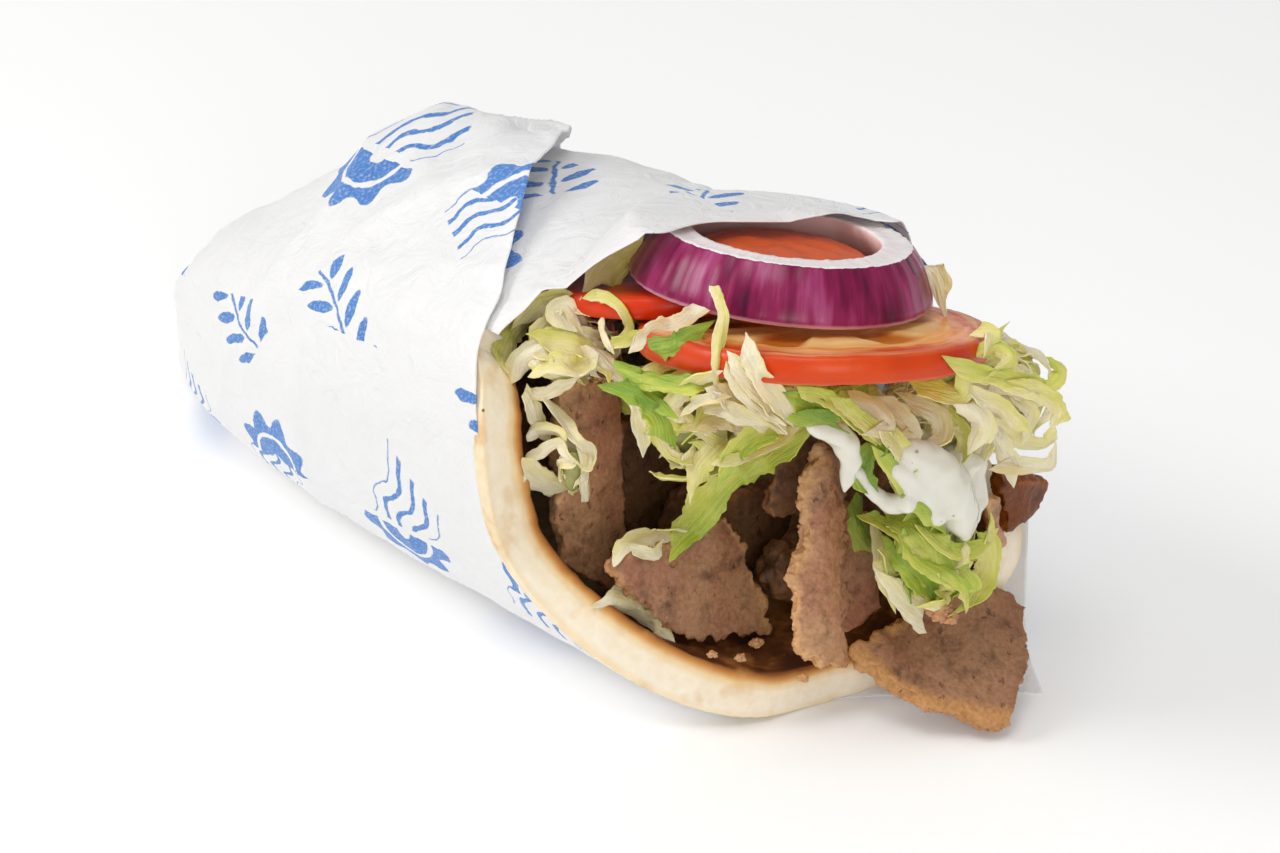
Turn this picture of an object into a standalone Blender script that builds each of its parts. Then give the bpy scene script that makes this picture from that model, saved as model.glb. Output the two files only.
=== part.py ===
"""Gyro wrap: a folded pita filled with sliced meat, lettuce, tomato and red onion, in a paper wrapper.

Metres, +Z up. The wrap lies on its side along X: the mouth faces +X and the folded paper tail
is at -X. The origin is on the surface it rests on, under the middle of the wrap.
Lengths below are written in millimetres and turned into metres by MM.
"""
import math

import bmesh
import bpy
from mathutils import Matrix, Vector, noise

for old in list(bpy.data.objects):
    bpy.data.objects.remove(old, do_unlink=True)

MM = 0.001

# Outline of the wrap across its length: position along X, centre Y, half width,
# lowest Z, highest Z, squareness of the lower half, squareness of the upper half.
SECTIONS = (
    (-145.5, -4.0, 17.0, 14.0, 16.8, 2.4, 2.4),
    (-144.6, -4.0, 20.0, 5.0, 27.0, 2.6, 2.5),
    (-142.0, -4.0, 23.0, 0.4, 34.0, 3.0, 2.6),
    (-130.0, -3.0, 31.5, 0.0, 46.0, 2.8, 2.4),
    (-105.0, -2.0, 42.5, 0.0, 62.5, 2.8, 2.3),
    (-70.0, -1.0, 49.0, 0.0, 80.0, 2.8, 2.3),
    (-30.0, 0.0, 51.0, 0.0, 89.0, 2.7, 2.3),
    (10.0, 0.0, 50.5, 0.0, 93.0, 2.5, 2.4),
    (50.0, 0.0, 49.0, 0.0, 96.0, 2.3, 2.4),
    (90.0, 0.0, 48.0, 0.0, 97.0, 2.2, 2.4),
)

# The paper runs round the wrap as a spiral. Turn 0 is its inner end, on the upper near side;
# it passes over the top, down the far side, under the wrap, up the near side and over itself.
PAPER_THICKNESS = 0.8
PAPER_START_ANGLE = 138.0
PAPER_TURN = 458.0
# Paper edge at the mouth: turn in degrees, position along X.
PAPER_EDGE = (
    (0.0, 0.5), (8.0, 2.0), (16.0, 4.5), (24.0, 11.0), (29.0, 22.0), (34.0, 24.0), (41.0, 22.0),
    (48.0, 21.0), (53.0, 22.5), (58.0, 24.5), (64.0, 26.5), (70.0, 28.0), (77.0, 28.5),
    (84.0, 31.5), (90.0, 34.0), (98.0, 32.5), (106.0, 30.5), (116.0, 31.0), (126.0, 34.0),
    (136.0, 42.0), (146.0, 52.0), (156.0, 62.5), (168.0, 75.0), (174.0, 85.0), (180.0, 82.5),
    (191.0, 78.0), (210.0, 68.6), (228.0, 57.0), (240.0, 50.0), (252.0, 46.5), (262.0, 42.0),
    (272.0, 37.0), (283.0, 31.5), (293.0, 24.5), (303.0, 16.5), (313.0, 9.8), (322.0, 7.4),
    (333.0, 5.0), (345.0, 1.6), (354.0, -1.4), (359.0, -2.5), (368.0, -4.5), (387.0, -15.0),
    (418.0, -43.0), (438.0, -60.0), (458.0, -76.0),
)
# Paper this close to the surface lies flat on it.
FLAT_DEPTH = 0.9
# The loose outer panel stands off the wrap near its free end, with a crumpled peak and valley.
PANEL_LIFT = 5.5
PANEL_PEAK = 4.5
PANEL_VALLEY = 4.0
PANEL_CRUMPLE = 0.7
# The overlap starts this far out, and the far side of the mouth flares outward.
SEAM_LIFT = 1.5
FLARE_LIFT = 7.5
FLOOR_FLAP_OUT = 8.0
# Paper over the toppings keeps this far above them, runs level past their rim and then falls.
DRAPE_CLEARANCE = 2.6
DRAPE_REACH = 7.0
DRAPE_FALL = 1.2
DRAPED_TURN = 122.0
# The sheet's grid: share of it in the folded tail and in the body, and lengths of tail and mouth.
TAIL_END = -145.5
TAIL_LENGTH = 8.0
TAIL_SHARE = 0.1875
BODY_SHARE = 0.3125
MOUTH_LENGTH = 48.0

# Pita: a round flat bread folded to a trough, near top edge first.
PITA_THICKNESS = 8.8
PITA_GAP = 1.9
PITA_NEAR_ANGLE = 142.0
PITA_FAR_ANGLE = 357.0
PITA_MOUTH = (
    (142.0, -5.0), (147.0, -0.6), (153.0, 3.0), (165.0, 6.6), (176.0, 9.4), (185.0, 12.0),
    (195.0, 18.0), (205.0, 26.0), (215.0, 33.5), (227.0, 41.0), (240.0, 48.5), (255.0, 55.0),
    (268.0, 57.0), (278.0, 60.5), (300.0, 64.0), (328.0, 65.0), (341.0, 65.5), (350.0, 61.0),
    (357.0, 50.0),
)
PITA_TAIL = (
    (142.0, -52.0), (160.0, -82.0), (190.0, -104.0), (225.0, -112.0), (290.0, -112.0),
    (325.0, -100.0), (345.0, -76.0), (357.0, -50.0),
)

MEAT = (0.13, 0.065, 0.035)
MEAT_THICKNESS = 4.2
CHIP_THICKNESS = 2.6
RAGGED = 1.3
# Packed meat inside: its ends along X, distance from the wrap's outline and from its top, and how
# much lower its top is toward the mouth.
FILLING_ENDS = (-9.0, -100.0)
FILLING_INSET = 12.0
FILLING_TOP_GAP = 14.0
FILLING_STEP = 29.0

TOMATO_THICKNESS = 6.0
TOMATO_THICKNESS_BACK = 5.0
ONION_HEIGHT = 11.5
# Discs of the topping: centre of the lower face, slope along X and Y, radius that paper lies over.
TOMATO_FRONT = ((47.8, 5.6, 78.6), 0.257, -0.224, 36.0)
TOMATO_BACK = ((6.6, 0.8, 77.0), 0.27, -0.166, 28.0)
ONION = ((30.2, 11.3, 85.1), 0.107, -0.233, 27.5)


def curve(rows, position):
    """Smooth values between the rows of a table, without overshoot."""
    last = len(rows) - 2
    step = 0
    while step < last and position > rows[step + 1][0]:
        step += 1

    def slope(index):
        before = rows[max(index - 1, 0)]
        here = rows[index]
        after = rows[min(index + 1, len(rows) - 1)]
        slopes = []
        for column in range(1, len(here)):
            if before is here or after is here:
                slopes.append(0.0)
                continue
            left = (here[column] - before[column]) / (here[0] - before[0])
            right = (after[column] - here[column]) / (after[0] - here[0])
            if left * right <= 0.0:
                slopes.append(0.0)
            else:
                slopes.append(2.0 * left * right / (left + right))
        return slopes

    low, high = rows[step], rows[step + 1]
    span = high[0] - low[0]
    t = min(max((position - low[0]) / span, 0.0), 1.0)
    first, second = slope(step), slope(step + 1)
    values = []
    for column in range(1, len(low)):
        a, b = low[column], high[column]
        m, n = first[column - 1] * span, second[column - 1] * span
        values.append(
            (2 * t ** 3 - 3 * t ** 2 + 1) * a + (t ** 3 - 2 * t ** 2 + t) * m
            + (3 * t ** 2 - 2 * t ** 3) * b + (t ** 3 - t ** 2) * n)
    return values


def blend(low, high, value):
    """Ease from 0 at low to 1 at high."""
    t = min(max((value - low) / (high - low), 0.0), 1.0)
    return t * t * (3.0 - 2.0 * t)


def hump(low, high, value):
    """Rise from 0 at low to 1 midway and fall back to 0 at high."""
    middle = (low + high) / 2.0
    return blend(low, middle, value) * (1.0 - blend(middle, high, value))


def wrap_point(along, angle, inset):
    """Point on the wrap in mm: angle 0 is the far side (+Y), 90 the top, 180 near, 270 the floor."""
    centre, half, low, high, square_low, square_high = curve(SECTIONS, along)
    turn = math.radians(angle)
    across, up = math.cos(turn), math.sin(turn)
    power = 2.0 / (square_high if up > 0 else square_low)
    middle = (low + high) / 2.0
    reach = max((high - low) / 2.0 - inset, 0.3)
    y = centre + (half - inset) * math.copysign(abs(across) ** power, across)
    z = middle + reach * math.copysign(abs(up) ** power, up)
    x = along + inset * blend(-140.0, -145.0, along)
    return Vector((x, y, z))


def material(name, red, green, blue, roughness):
    """Principled material of one colour."""
    made = bpy.data.materials.new(name)
    made.use_nodes = True
    shader = made.node_tree.nodes["Principled BSDF"]
    shader.inputs["Base Color"].default_value = (red, green, blue, 1.0)
    shader.inputs["Roughness"].default_value = roughness
    shader.inputs["Metallic"].default_value = 0.0
    return made


def add_object(name, bm, look):
    """Turn a bmesh into a named object with its material, shaded smooth."""
    mesh = bpy.data.meshes.new(name)
    bm.to_mesh(mesh)
    bm.free()
    mesh.materials.append(look)
    mesh.shade_smooth()
    mesh.set_sharp_from_angle(angle=math.radians(50))
    made = bpy.data.objects.new(name, mesh)
    bpy.context.scene.collection.objects.link(made)
    return made


def add_sheet(name, columns, rows, place, thickness, look, even=True):
    """Bend a flat grid with place(u, v) and thicken it away from its outer face."""
    bm = bmesh.new()
    bmesh.ops.create_grid(bm, x_segments=columns, y_segments=rows, size=0.5)
    for vert in bm.verts:
        vert.co = place(vert.co.x + 0.5, vert.co.y + 0.5) * MM
    made = add_object(name, bm, look)
    wall = made.modifiers.new("Thickness", "SOLIDIFY")
    wall.thickness = thickness * MM
    wall.offset = -1.0
    wall.use_even_offset = even
    wall.use_quality_normals = True
    wall.use_rim = True
    return made


def round_edges(made, width, segments):
    """Round the edges that are sharper than 45 degrees."""
    bevel = made.modifiers.new("Rounding", "BEVEL")
    bevel.width = width * MM
    bevel.segments = segments
    bevel.limit_method = "ANGLE"
    bevel.angle_limit = math.radians(45)
    return made


def paper_lift(along, turn):
    """Distance in mm of the paper from the wrap's own outline."""
    lift = SEAM_LIFT * blend(332.0, 359.0, turn)
    loose = blend(366.0, 412.0, turn) * (1.0 - 0.7 * blend(412.0, 432.0, turn))
    lift += PANEL_LIFT * loose * blend(-108.0, -90.0, along)
    crumple = math.sin(along * 0.31 + turn * 0.05) * math.sin(turn * 0.11 - along * 0.04)
    lift += PANEL_CRUMPLE * (0.5 + 0.5 * crumple) * blend(345.0, 390.0, turn)
    peak = hump(-100.0, -54.0, along) * hump(390.0, 430.0, turn)
    valley = hump(-108.0, -78.0, along) * blend(392.0, 402.0, turn)
    lift += PANEL_PEAK * peak - PANEL_VALLEY * valley
    flare = blend(44.0, 78.0, turn) * (1.0 - blend(112.0, 150.0, turn))
    lift += FLARE_LIFT * flare * blend(-12.0, 42.0, along)
    return lift


def paper_place(u, v):
    """Point of the paper in mm: u runs from the tail to the edge at the mouth, v round the wrap."""
    turn = v * PAPER_TURN
    edge = curve(PAPER_EDGE, turn)[0]
    body_start = TAIL_END + TAIL_LENGTH
    mouth_start = edge - MOUTH_LENGTH
    before_mouth = TAIL_SHARE + BODY_SHARE
    if u < TAIL_SHARE:
        along = TAIL_END + u / TAIL_SHARE * TAIL_LENGTH
    elif u < before_mouth:
        along = body_start + (u - TAIL_SHARE) / BODY_SHARE * (mouth_start - body_start)
    else:
        along = mouth_start + (u - before_mouth) / (1.0 - before_mouth) * MOUTH_LENGTH
    point = wrap_point(along, PAPER_START_ANGLE - turn, -paper_lift(along, turn))
    on_floor = blend(56.0, 76.0, along) * blend(157.0, 174.0, turn) * (1.0 - blend(250.0, 275.0, turn))
    point.z *= 1.0 - on_floor
    far_side = blend(118.0, 150.0, turn) * (1.0 - blend(155.0, 174.0, turn))
    point.y += FLOOR_FLAP_OUT * blend(45.0, 62.0, along) * far_side
    if turn < DRAPED_TURN:
        drape_over(point, TOMATO_BACK, TOMATO_THICKNESS_BACK)
        drape_over(point, ONION, ONION_HEIGHT)
    if point.z < FLAT_DEPTH:
        point.z = 0.0
    return point


def drape_over(point, disc, height):
    """Raise a point of the paper that would lie under or in a tilted disc."""
    centre, slope_x, slope_y, radius = disc
    x, y = point.x - centre[0], point.y - centre[1]
    top = centre[2] + slope_x * x + slope_y * y + height * 1.03 + PAPER_THICKNESS + DRAPE_CLEARANCE
    beyond = math.hypot(x, y) - radius - DRAPE_REACH
    if beyond > 0.0:
        top -= DRAPE_FALL * beyond
    point.z = max(point.z, top)


def make_paper():
    look = material("greaseproof_paper", 0.87, 0.87, 0.88, 0.62)
    add_sheet("paper_wrap", 16, 46, paper_place, PAPER_THICKNESS, look, even=False)


def pita_place(u, v):
    """Point of the pita's outer face in mm: u runs from the tail to the mouth, v far to near."""
    angle = PITA_FAR_ANGLE + v * (PITA_NEAR_ANGLE - PITA_FAR_ANGLE)
    mouth = curve(PITA_MOUTH, angle)[0]
    tail = curve(PITA_TAIL, angle)[0]
    return wrap_point(tail + u * (mouth - tail), angle, PITA_GAP)


def make_pita():
    look = material("pita_bread", 0.80, 0.62, 0.38, 0.7)
    bread = add_sheet("pita", 10, 18, pita_place, PITA_THICKNESS, look)
    round_edges(bread, 3.0, 2)


def make_filling():
    """Sliced meat packed behind the slices at the mouth, down to the end of the pita."""
    look = material("packed_meat", *MEAT, 0.6)
    bm = bmesh.new()
    bmesh.ops.create_uvsphere(bm, u_segments=16, v_segments=10, radius=1.0)
    front, back = FILLING_ENDS
    for vert in bm.verts:
        share = math.acos(max(-1.0, min(1.0, vert.co.z))) / math.pi
        along = front + share * (back - front)
        angle = math.degrees(math.atan2(vert.co.x, vert.co.y))
        fullness = math.hypot(vert.co.x, vert.co.y) ** 0.35
        shell = wrap_point(along, angle, FILLING_INSET)
        centre, half, low, high, _, _ = curve(SECTIONS, along)
        core = Vector((along, centre, (low + high) / 2.0 - 3.0))
        point = core.lerp(shell, fullness)
        roof = high - FILLING_TOP_GAP - FILLING_STEP * blend(-60.0, -20.0, along)
        point.z = min(point.z, roof)
        vert.co = point * MM
    bmesh.ops.recalc_face_normals(bm, faces=bm.faces)
    add_object("meat_filling", bm, look)


def slab_place(corners, belly, bulge, bow, seed):
    """Placing function of a ragged slice between its four corners, lower left first, anticlockwise."""
    lower_left, lower_right, upper_right, upper_left = [Vector(corner) for corner in corners]
    facing = (lower_right - lower_left).cross(upper_left - lower_left).normalized()

    def place(u, v):
        ragged = RAGGED * noise.noise(Vector((seed, v * 5.0, u * 2.0)))
        side = (u - 0.5) * 2.0
        wide = 1.0 + belly * 4.0 * v * (1.0 - v)
        spread = 0.5 + (u - 0.5) * wide
        left = lower_left.lerp(upper_left, v)
        right = lower_right.lerp(upper_right, v)
        point = left + (right - left) * spread
        across = (right - left).normalized()
        up = (upper_left - lower_left).normalized()
        point += across * ragged * side
        point += up * RAGGED * noise.noise(Vector((seed + 7.0, u * 5.0, 0.3))) * (v - 0.5) * 2.0
        point += facing * bulge * 4.0 * u * (1.0 - u)
        point -= up * bow * 4.0 * u * (1.0 - u) * (1.0 - v)
        return point

    return place


# Meat slices: name, corners in mm (lower left, lower right, upper right, upper left as seen from
# the front), how much the middle is wider, how much it bulges forward and its lower edge bows down.
SLICES = (
    ("meat_slice_near", ((12, -33, 26), (15, -19, 14.5), (9, -13, 62), (7, -30, 68)), 0.05, 1.0, 0),
    ("meat_slice_back", ((4, -6, 17), (5, 16, 15), (1, 16, 43), (-1, -8, 45)), 0.05, 1.0, 0),
    ("meat_slice_front", ((40, -21, 16.5), (45, -2, 12.5), (34, -7, 39), (30, -33, 34)), 0.1, 0.8, 0),
    ("meat_slice_inner", ((24, 3, 14.5), (26, 18, 15.5), (24, 23, 33), (22, 2, 34)), 0.05, 1.0, 0),
    ("meat_slice_shadow", ((40, 2, 38), (42, 14, 36), (40, 16, 53), (38, 4, 56)), 0.0, 0.8, 0),
    ("meat_slice_tall", ((62, -11, 20), (66, -0.8, 14.5), (50, 10, 56), (49, 6.5, 59)), 0.5, 2.0, 1),
    ("meat_slice_flat", ((66.5, 1.6, 18.3), (93, 21, 5.2), (76.5, 42.6, 17), (70.5, 33.5, 24)), 0.04, 0, 5),
    ("meat_slice_far", ((72, 39, 34), (72, 47, 35), (72, 51, 41), (72, 36.5, 50)), 0.05, 0.6, 0),
    ("meat_chip_far", ((74, 33, 34), (74, 36.8, 33), (74, 34, 45), (74, 30.8, 46)), 0, 0.3, 0),
    ("meat_slice_side", ((57, 4, 15), (58, 17.5, 17), (51, 20.5, 37), (50.5, 11.5, 41)), 0.1, 0.6, 0),
)


def make_slices():
    for index, (name, corners, belly, bulge, bow) in enumerate(SLICES):
        brown = 0.8 if "far" in name else 1.0
        look = material(name + "_meat", 0.26 * brown, 0.135 * brown, 0.075 * brown, 0.55)
        place = slab_place(corners, belly, bulge, bow, 3.7 * index)
        small = "chip" in name
        thick = CHIP_THICKNESS if small else MEAT_THICKNESS
        add_sheet(name, 3 if small else 5, 4 if small else 7, place, thick, look)


def stand_on(made, centre, slope_x, slope_y):
    """Set a disc made about its own origin on a tilted plane."""
    up = Vector((-slope_x, -slope_y, 1.0))
    turn = up.to_track_quat("Z", "Y")
    made.data.transform(Matrix.Translation(Vector(centre) * MM) @ turn.to_matrix().to_4x4())
    return made


def make_tomato(name, disc, thickness):
    centre, slope_x, slope_y, radius = disc
    look = material(name + "_flesh", 0.62, 0.10, 0.02, 0.3)
    bm = bmesh.new()
    bmesh.ops.create_cone(
        bm, cap_ends=True, segments=36, radius1=radius * MM, radius2=(radius - 1.0) * MM,
        depth=thickness * MM)
    bmesh.ops.translate(bm, verts=bm.verts, vec=(0.0, 0.0, thickness * MM / 2.0))
    for vert in bm.verts:
        turn = math.atan2(vert.co.y, vert.co.x)
        lobed = 1.0 + 0.012 * math.cos(3.0 * turn + 0.6) + 0.008 * math.cos(5.0 * turn)
        vert.co.x *= lobed
        vert.co.y *= lobed
    slice_of = add_object(name, bm, look)
    round_edges(slice_of, 1.6, 2)
    stand_on(slice_of, centre, slope_x, slope_y)


def make_onion():
    """One thick ring of red onion, wider at its foot, cut flat on both faces."""
    centre, slope_x, slope_y, _ = ONION
    look = material("red_onion_skin", 0.22, 0.03, 0.09, 0.3)
    profile = (
        (25.0, 0.6), (27.0, 0.0), (31.0, 0.0), (31.6, 0.8), (30.6, 4.0), (28.6, 8.4),
        (26.6, 11.0), (26.0, 11.5), (20.0, 11.5), (19.6, 10.8), (22.0, 6.0), (24.4, 2.0),
    )
    bm = bmesh.new()
    verts = [bm.verts.new((radius * MM, 0.0, height * MM)) for radius, height in profile]
    edges = [bm.edges.new((verts[i], verts[(i + 1) % len(verts)])) for i in range(len(verts))]
    bmesh.ops.spin(
        bm, geom=verts + edges, cent=(0, 0, 0), axis=(0, 0, 1), angle=2.0 * math.pi, steps=30,
        use_merge=True)
    bmesh.ops.remove_doubles(bm, verts=bm.verts, dist=0.00002)
    bmesh.ops.recalc_face_normals(bm, faces=bm.faces)
    ring = add_object("onion_ring", bm, look)
    stand_on(ring, centre, slope_x, slope_y)


# Soft heaps: name, centre, radii in mm, how uneven, colour.
LETTUCE = (0.62, 0.58, 0.22)
HEAPS = (
    ("lettuce_left", (6.5, -24.5, 73.5), (9, 10, 5.5), LETTUCE),
    ("lettuce_bed", (4, 12, 60), (24, 22, 8.5), LETTUCE),
    ("lettuce_left_low", (17, -33.5, 52), (3.2, 4.2, 7), LETTUCE),
    ("lettuce_middle", (33, -14, 65), (11, 12, 12), LETTUCE),
    ("lettuce_under", (49, 7, 70.5), (11, 10.5, 5.5), LETTUCE),
    ("lettuce_right", (62, 34, 63.5), (12, 20, 10), LETTUCE),
    ("lettuce_front", (70, 18, 40.5), (6, 10, 15.5), LETTUCE),
)
MEAT_HEAPS = (
    ("meat_heap_inner", (11.5, 7, 24), (4.2, 13, 10), MEAT),
    ("meat_heap_low", (38.5, 9.5, 21.5), (7.5, 10, 8), MEAT),
    ("meat_heap_far", (44.5, 28.6, 38), (12, 7, 13), MEAT),
)
FINE_RADIUS = 11.2
DOLLOPS = (
    ("sauce_dollop", (79, 14.5, 56), (2.6, 10.5, 11.5)),
    ("sauce_drip", (56, 6, 57), (2.2, 5, 8)),
)


def add_blob(name, centre, radii, uneven, scale, look):
    """Uneven ball, stretched to its radii in mm."""
    bm = bmesh.new()
    fine = 3 if max(radii) > FINE_RADIUS else 2
    bmesh.ops.create_icosphere(bm, subdivisions=fine, radius=1.0)
    shift = Vector((centre[0] * 0.37, centre[1] * 0.21, centre[2] * 0.13))
    for vert in bm.verts:
        way = vert.co.normalized()
        grown = 1.0 + uneven * noise.noise(way * scale + shift)
        vert.co = Vector([centre[i] + way[i] * radii[i] * grown for i in range(3)]) * MM
    return add_object(name, bm, look)


def make_heaps():
    for name, centre, radii, colour in HEAPS:
        look = material(name + "_leaves", *colour, 0.45)
        add_blob(name, centre, radii, 0.22, 2.6, look)
    for name, centre, radii, colour in MEAT_HEAPS:
        look = material(name + "_meat", *colour, 0.6)
        add_blob(name, centre, radii, 0.16, 2.0, look)
    for name, centre, radii in DOLLOPS:
        look = material(name + "_yogurt", 0.82, 0.80, 0.70, 0.25)
        add_blob(name, centre, radii, 0.15, 1.3, look)


make_paper()
make_pita()
make_filling()
make_slices()
make_tomato("tomato_front", TOMATO_FRONT, TOMATO_THICKNESS)
make_tomato("tomato_back", TOMATO_BACK, TOMATO_THICKNESS_BACK)
make_onion()
make_heaps()
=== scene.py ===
"""Gyro wrap: the finish of a pita filled with meat, lettuce, tomato and red onion, in printed paper.

The slices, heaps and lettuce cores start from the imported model's own solids. The paper, the bread and
the round toppings repeat its dimensions, and the shreds and sauce on top have paths of their own.
Shapes are worked out in millimetres and turned into metres when a piece is kept. +X runs to the mouth,
-Y is the near side and +Z is up.
"""

import math
import random

import bmesh
import bpy
import numpy as np
from mathutils import Matrix, Quaternion, Vector, noise
from mathutils.bvhtree import BVHTree
from mathutils.kdtree import KDTree


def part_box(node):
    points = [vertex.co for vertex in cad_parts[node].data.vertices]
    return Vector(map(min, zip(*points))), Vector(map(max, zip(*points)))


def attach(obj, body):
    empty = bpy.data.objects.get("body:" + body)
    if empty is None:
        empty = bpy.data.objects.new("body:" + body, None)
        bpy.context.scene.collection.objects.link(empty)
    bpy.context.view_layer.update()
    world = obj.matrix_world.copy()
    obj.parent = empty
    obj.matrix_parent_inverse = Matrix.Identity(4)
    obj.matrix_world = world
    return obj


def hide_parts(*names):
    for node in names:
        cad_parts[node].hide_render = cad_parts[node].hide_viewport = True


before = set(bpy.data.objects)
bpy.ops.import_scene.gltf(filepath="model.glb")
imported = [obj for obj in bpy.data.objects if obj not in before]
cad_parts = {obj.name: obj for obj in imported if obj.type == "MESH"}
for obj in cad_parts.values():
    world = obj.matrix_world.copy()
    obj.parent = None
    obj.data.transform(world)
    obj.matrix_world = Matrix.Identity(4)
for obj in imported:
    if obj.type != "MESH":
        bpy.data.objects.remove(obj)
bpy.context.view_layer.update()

MM = 0.001
# Doubles nearer than this are one point, in mm.
SAME_POINT = 0.01

# ---------------------------------------------------------------- shared shapes

# Outline of the wrap across its length: position along X, centre Y, half width,
# lowest Z, highest Z, squareness of the lower half, squareness of the upper half.
SECTIONS = (
    (-145.5, -4.0, 17.0, 14.0, 16.8, 2.4, 2.4),
    (-144.6, -4.0, 20.0, 5.0, 27.0, 2.6, 2.5),
    (-142.0, -4.0, 23.0, 0.4, 34.0, 3.0, 2.6),
    (-130.0, -3.0, 31.5, 0.0, 46.0, 2.8, 2.4),
    (-105.0, -2.0, 42.5, 0.0, 62.5, 2.8, 2.3),
    (-70.0, -1.0, 49.0, 0.0, 80.0, 2.8, 2.3),
    (-30.0, 0.0, 51.0, 0.0, 89.0, 2.7, 2.3),
    (10.0, 0.0, 50.5, 0.0, 93.0, 2.5, 2.4),
    (50.0, 0.0, 49.0, 0.0, 96.0, 2.3, 2.4),
    (90.0, 0.0, 48.0, 0.0, 97.0, 2.2, 2.4),
)

# The paper runs round the wrap as a spiral: turn 0 is its inner end, on the upper near side, and
# it passes over the top, down the far side, under the wrap, up the near side and over itself.
PAPER_WALL = 0.25
PAPER_START_ANGLE = 138.0
PAPER_TURN = 458.0
PAPER_EDGE = (
    (0.0, 0.5), (8.0, 2.0), (16.0, 4.5), (24.0, 11.0), (29.0, 22.0), (34.0, 24.0), (41.0, 22.0),
    (48.0, 21.0), (53.0, 22.5), (58.0, 24.5), (64.0, 26.5), (70.0, 28.0), (77.0, 28.5),
    (84.0, 31.5), (90.0, 34.0), (98.0, 32.5), (106.0, 30.5), (116.0, 31.0), (126.0, 34.0),
    (136.0, 42.0), (146.0, 52.0), (156.0, 62.5), (168.0, 75.0), (174.0, 85.0), (180.0, 82.5),
    (191.0, 78.0), (210.0, 68.6), (228.0, 57.0), (240.0, 50.0), (252.0, 46.5), (262.0, 42.0),
    (272.0, 37.0), (283.0, 31.5), (293.0, 24.5), (303.0, 16.5), (313.0, 9.8), (322.0, 7.4),
    (333.0, 5.0), (345.0, 1.6), (354.0, -1.4), (359.0, -2.5), (368.0, -4.5), (387.0, -15.0),
    (418.0, -43.0), (438.0, -60.0), (458.0, -76.0),
)
TAIL_END = -145.5

PITA_THICKNESS = 8.8
PITA_GAP = 1.9
PITA_NEAR_ANGLE = 137.0
PITA_FAR_ANGLE = 357.0
PITA_MOUTH = (
    (142.0, -5.0), (147.0, -0.6), (153.0, 3.0), (165.0, 6.6), (176.0, 9.4), (185.0, 12.0),
    (195.0, 18.0), (205.0, 26.0), (215.0, 33.5), (227.0, 41.0), (240.0, 48.5), (255.0, 55.0),
    (268.0, 57.0), (278.0, 60.5), (300.0, 64.0), (328.0, 65.0), (341.0, 65.5), (350.0, 61.0),
    (357.0, 50.0),
)
PITA_TAIL = (
    (142.0, -52.0), (160.0, -82.0), (190.0, -104.0), (225.0, -112.0), (290.0, -112.0),
    (325.0, -100.0), (345.0, -76.0), (357.0, -50.0),
)

# Round toppings: centre of the lower face, slope along X and Y, radius, height.
TOMATO_FRONT = ((47.8, 5.6, 78.6), 0.257, -0.224, 36.0, 6.0)
TOMATO_BACK = ((6.6, 0.8, 77.0), 0.27, -0.166, 28.0, 5.0)
ONION = ((30.2, 11.3, 85.1), 0.107, -0.233, 27.5, 11.5)

# The open side is looked at from here: degrees round from +Y and up, mm away, and the middle.
VIEW_AZIMUTH = 50.0
VIEW_RISE = 30.0
VIEW_DISTANCE = 850.0
VIEW_TARGET = Vector((-4.0, 2.0, 40.0))

# Finished pieces that others can lie on.
finished = []


def curve(rows, position):
    """Smooth values between the rows of a table, without overshoot."""
    last = len(rows) - 2
    step = 0
    while step < last and position > rows[step + 1][0]:
        step += 1

    def slope(index):
        """Slope of each column at a row, flat where the column turns back."""
        before = rows[max(index - 1, 0)]
        here = rows[index]
        after = rows[min(index + 1, len(rows) - 1)]
        slopes = []
        for column in range(1, len(here)):
            if before is here or after is here:
                slopes.append(0.0)
                continue
            left = (here[column] - before[column]) / (here[0] - before[0])
            right = (after[column] - here[column]) / (after[0] - here[0])
            slopes.append(0.0 if left * right <= 0.0 else 2.0 * left * right / (left + right))
        return slopes

    low, high = rows[step], rows[step + 1]
    span = high[0] - low[0]
    t = min(max((position - low[0]) / span, 0.0), 1.0)
    first, second = slope(step), slope(step + 1)
    values = []
    for column in range(1, len(low)):
        start, end = low[column], high[column]
        leaving, arriving = first[column - 1] * span, second[column - 1] * span
        values.append(
            (2 * t ** 3 - 3 * t ** 2 + 1) * start + (t ** 3 - 2 * t ** 2 + t) * leaving
            + (3 * t ** 2 - 2 * t ** 3) * end + (t ** 3 - t ** 2) * arriving)
    return values


def blend(low, high, value):
    """Ease from 0 at low to 1 at high."""
    t = min(max((value - low) / (high - low), 0.0), 1.0)
    return t * t * (3.0 - 2.0 * t)


def hump(low, high, value):
    """Rise from 0 at low to 1 midway and fall back to 0 at high."""
    middle = (low + high) / 2.0
    return blend(low, middle, value) * (1.0 - blend(middle, high, value))


def wrap_point(along, angle, inset):
    """Point on the wrap in mm: angle 0 is the far side (+Y), 90 the top, 180 near, 270 the floor."""
    centre, half, low, high, square_low, square_high = curve(SECTIONS, along)
    turn = math.radians(angle)
    across, up = math.cos(turn), math.sin(turn)
    power = 2.0 / (square_high if up > 0 else square_low)
    middle = (low + high) / 2.0
    reach = max((high - low) / 2.0 - inset, 0.3)
    y = centre + (half - inset) * math.copysign(abs(across) ** power, across)
    z = middle + reach * math.copysign(abs(up) ** power, up)
    x = along + inset * blend(-140.0, -145.0, along)
    return Vector((x, y, z))


def way_back(azimuth, elevation):
    """Direction back toward an eye that stands round the wrap, azimuth 0 looking along +Y."""
    turn, rise = math.radians(azimuth), math.radians(elevation)
    return Vector((math.sin(turn) * math.cos(rise), -math.cos(turn) * math.cos(rise), math.sin(rise)))


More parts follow.
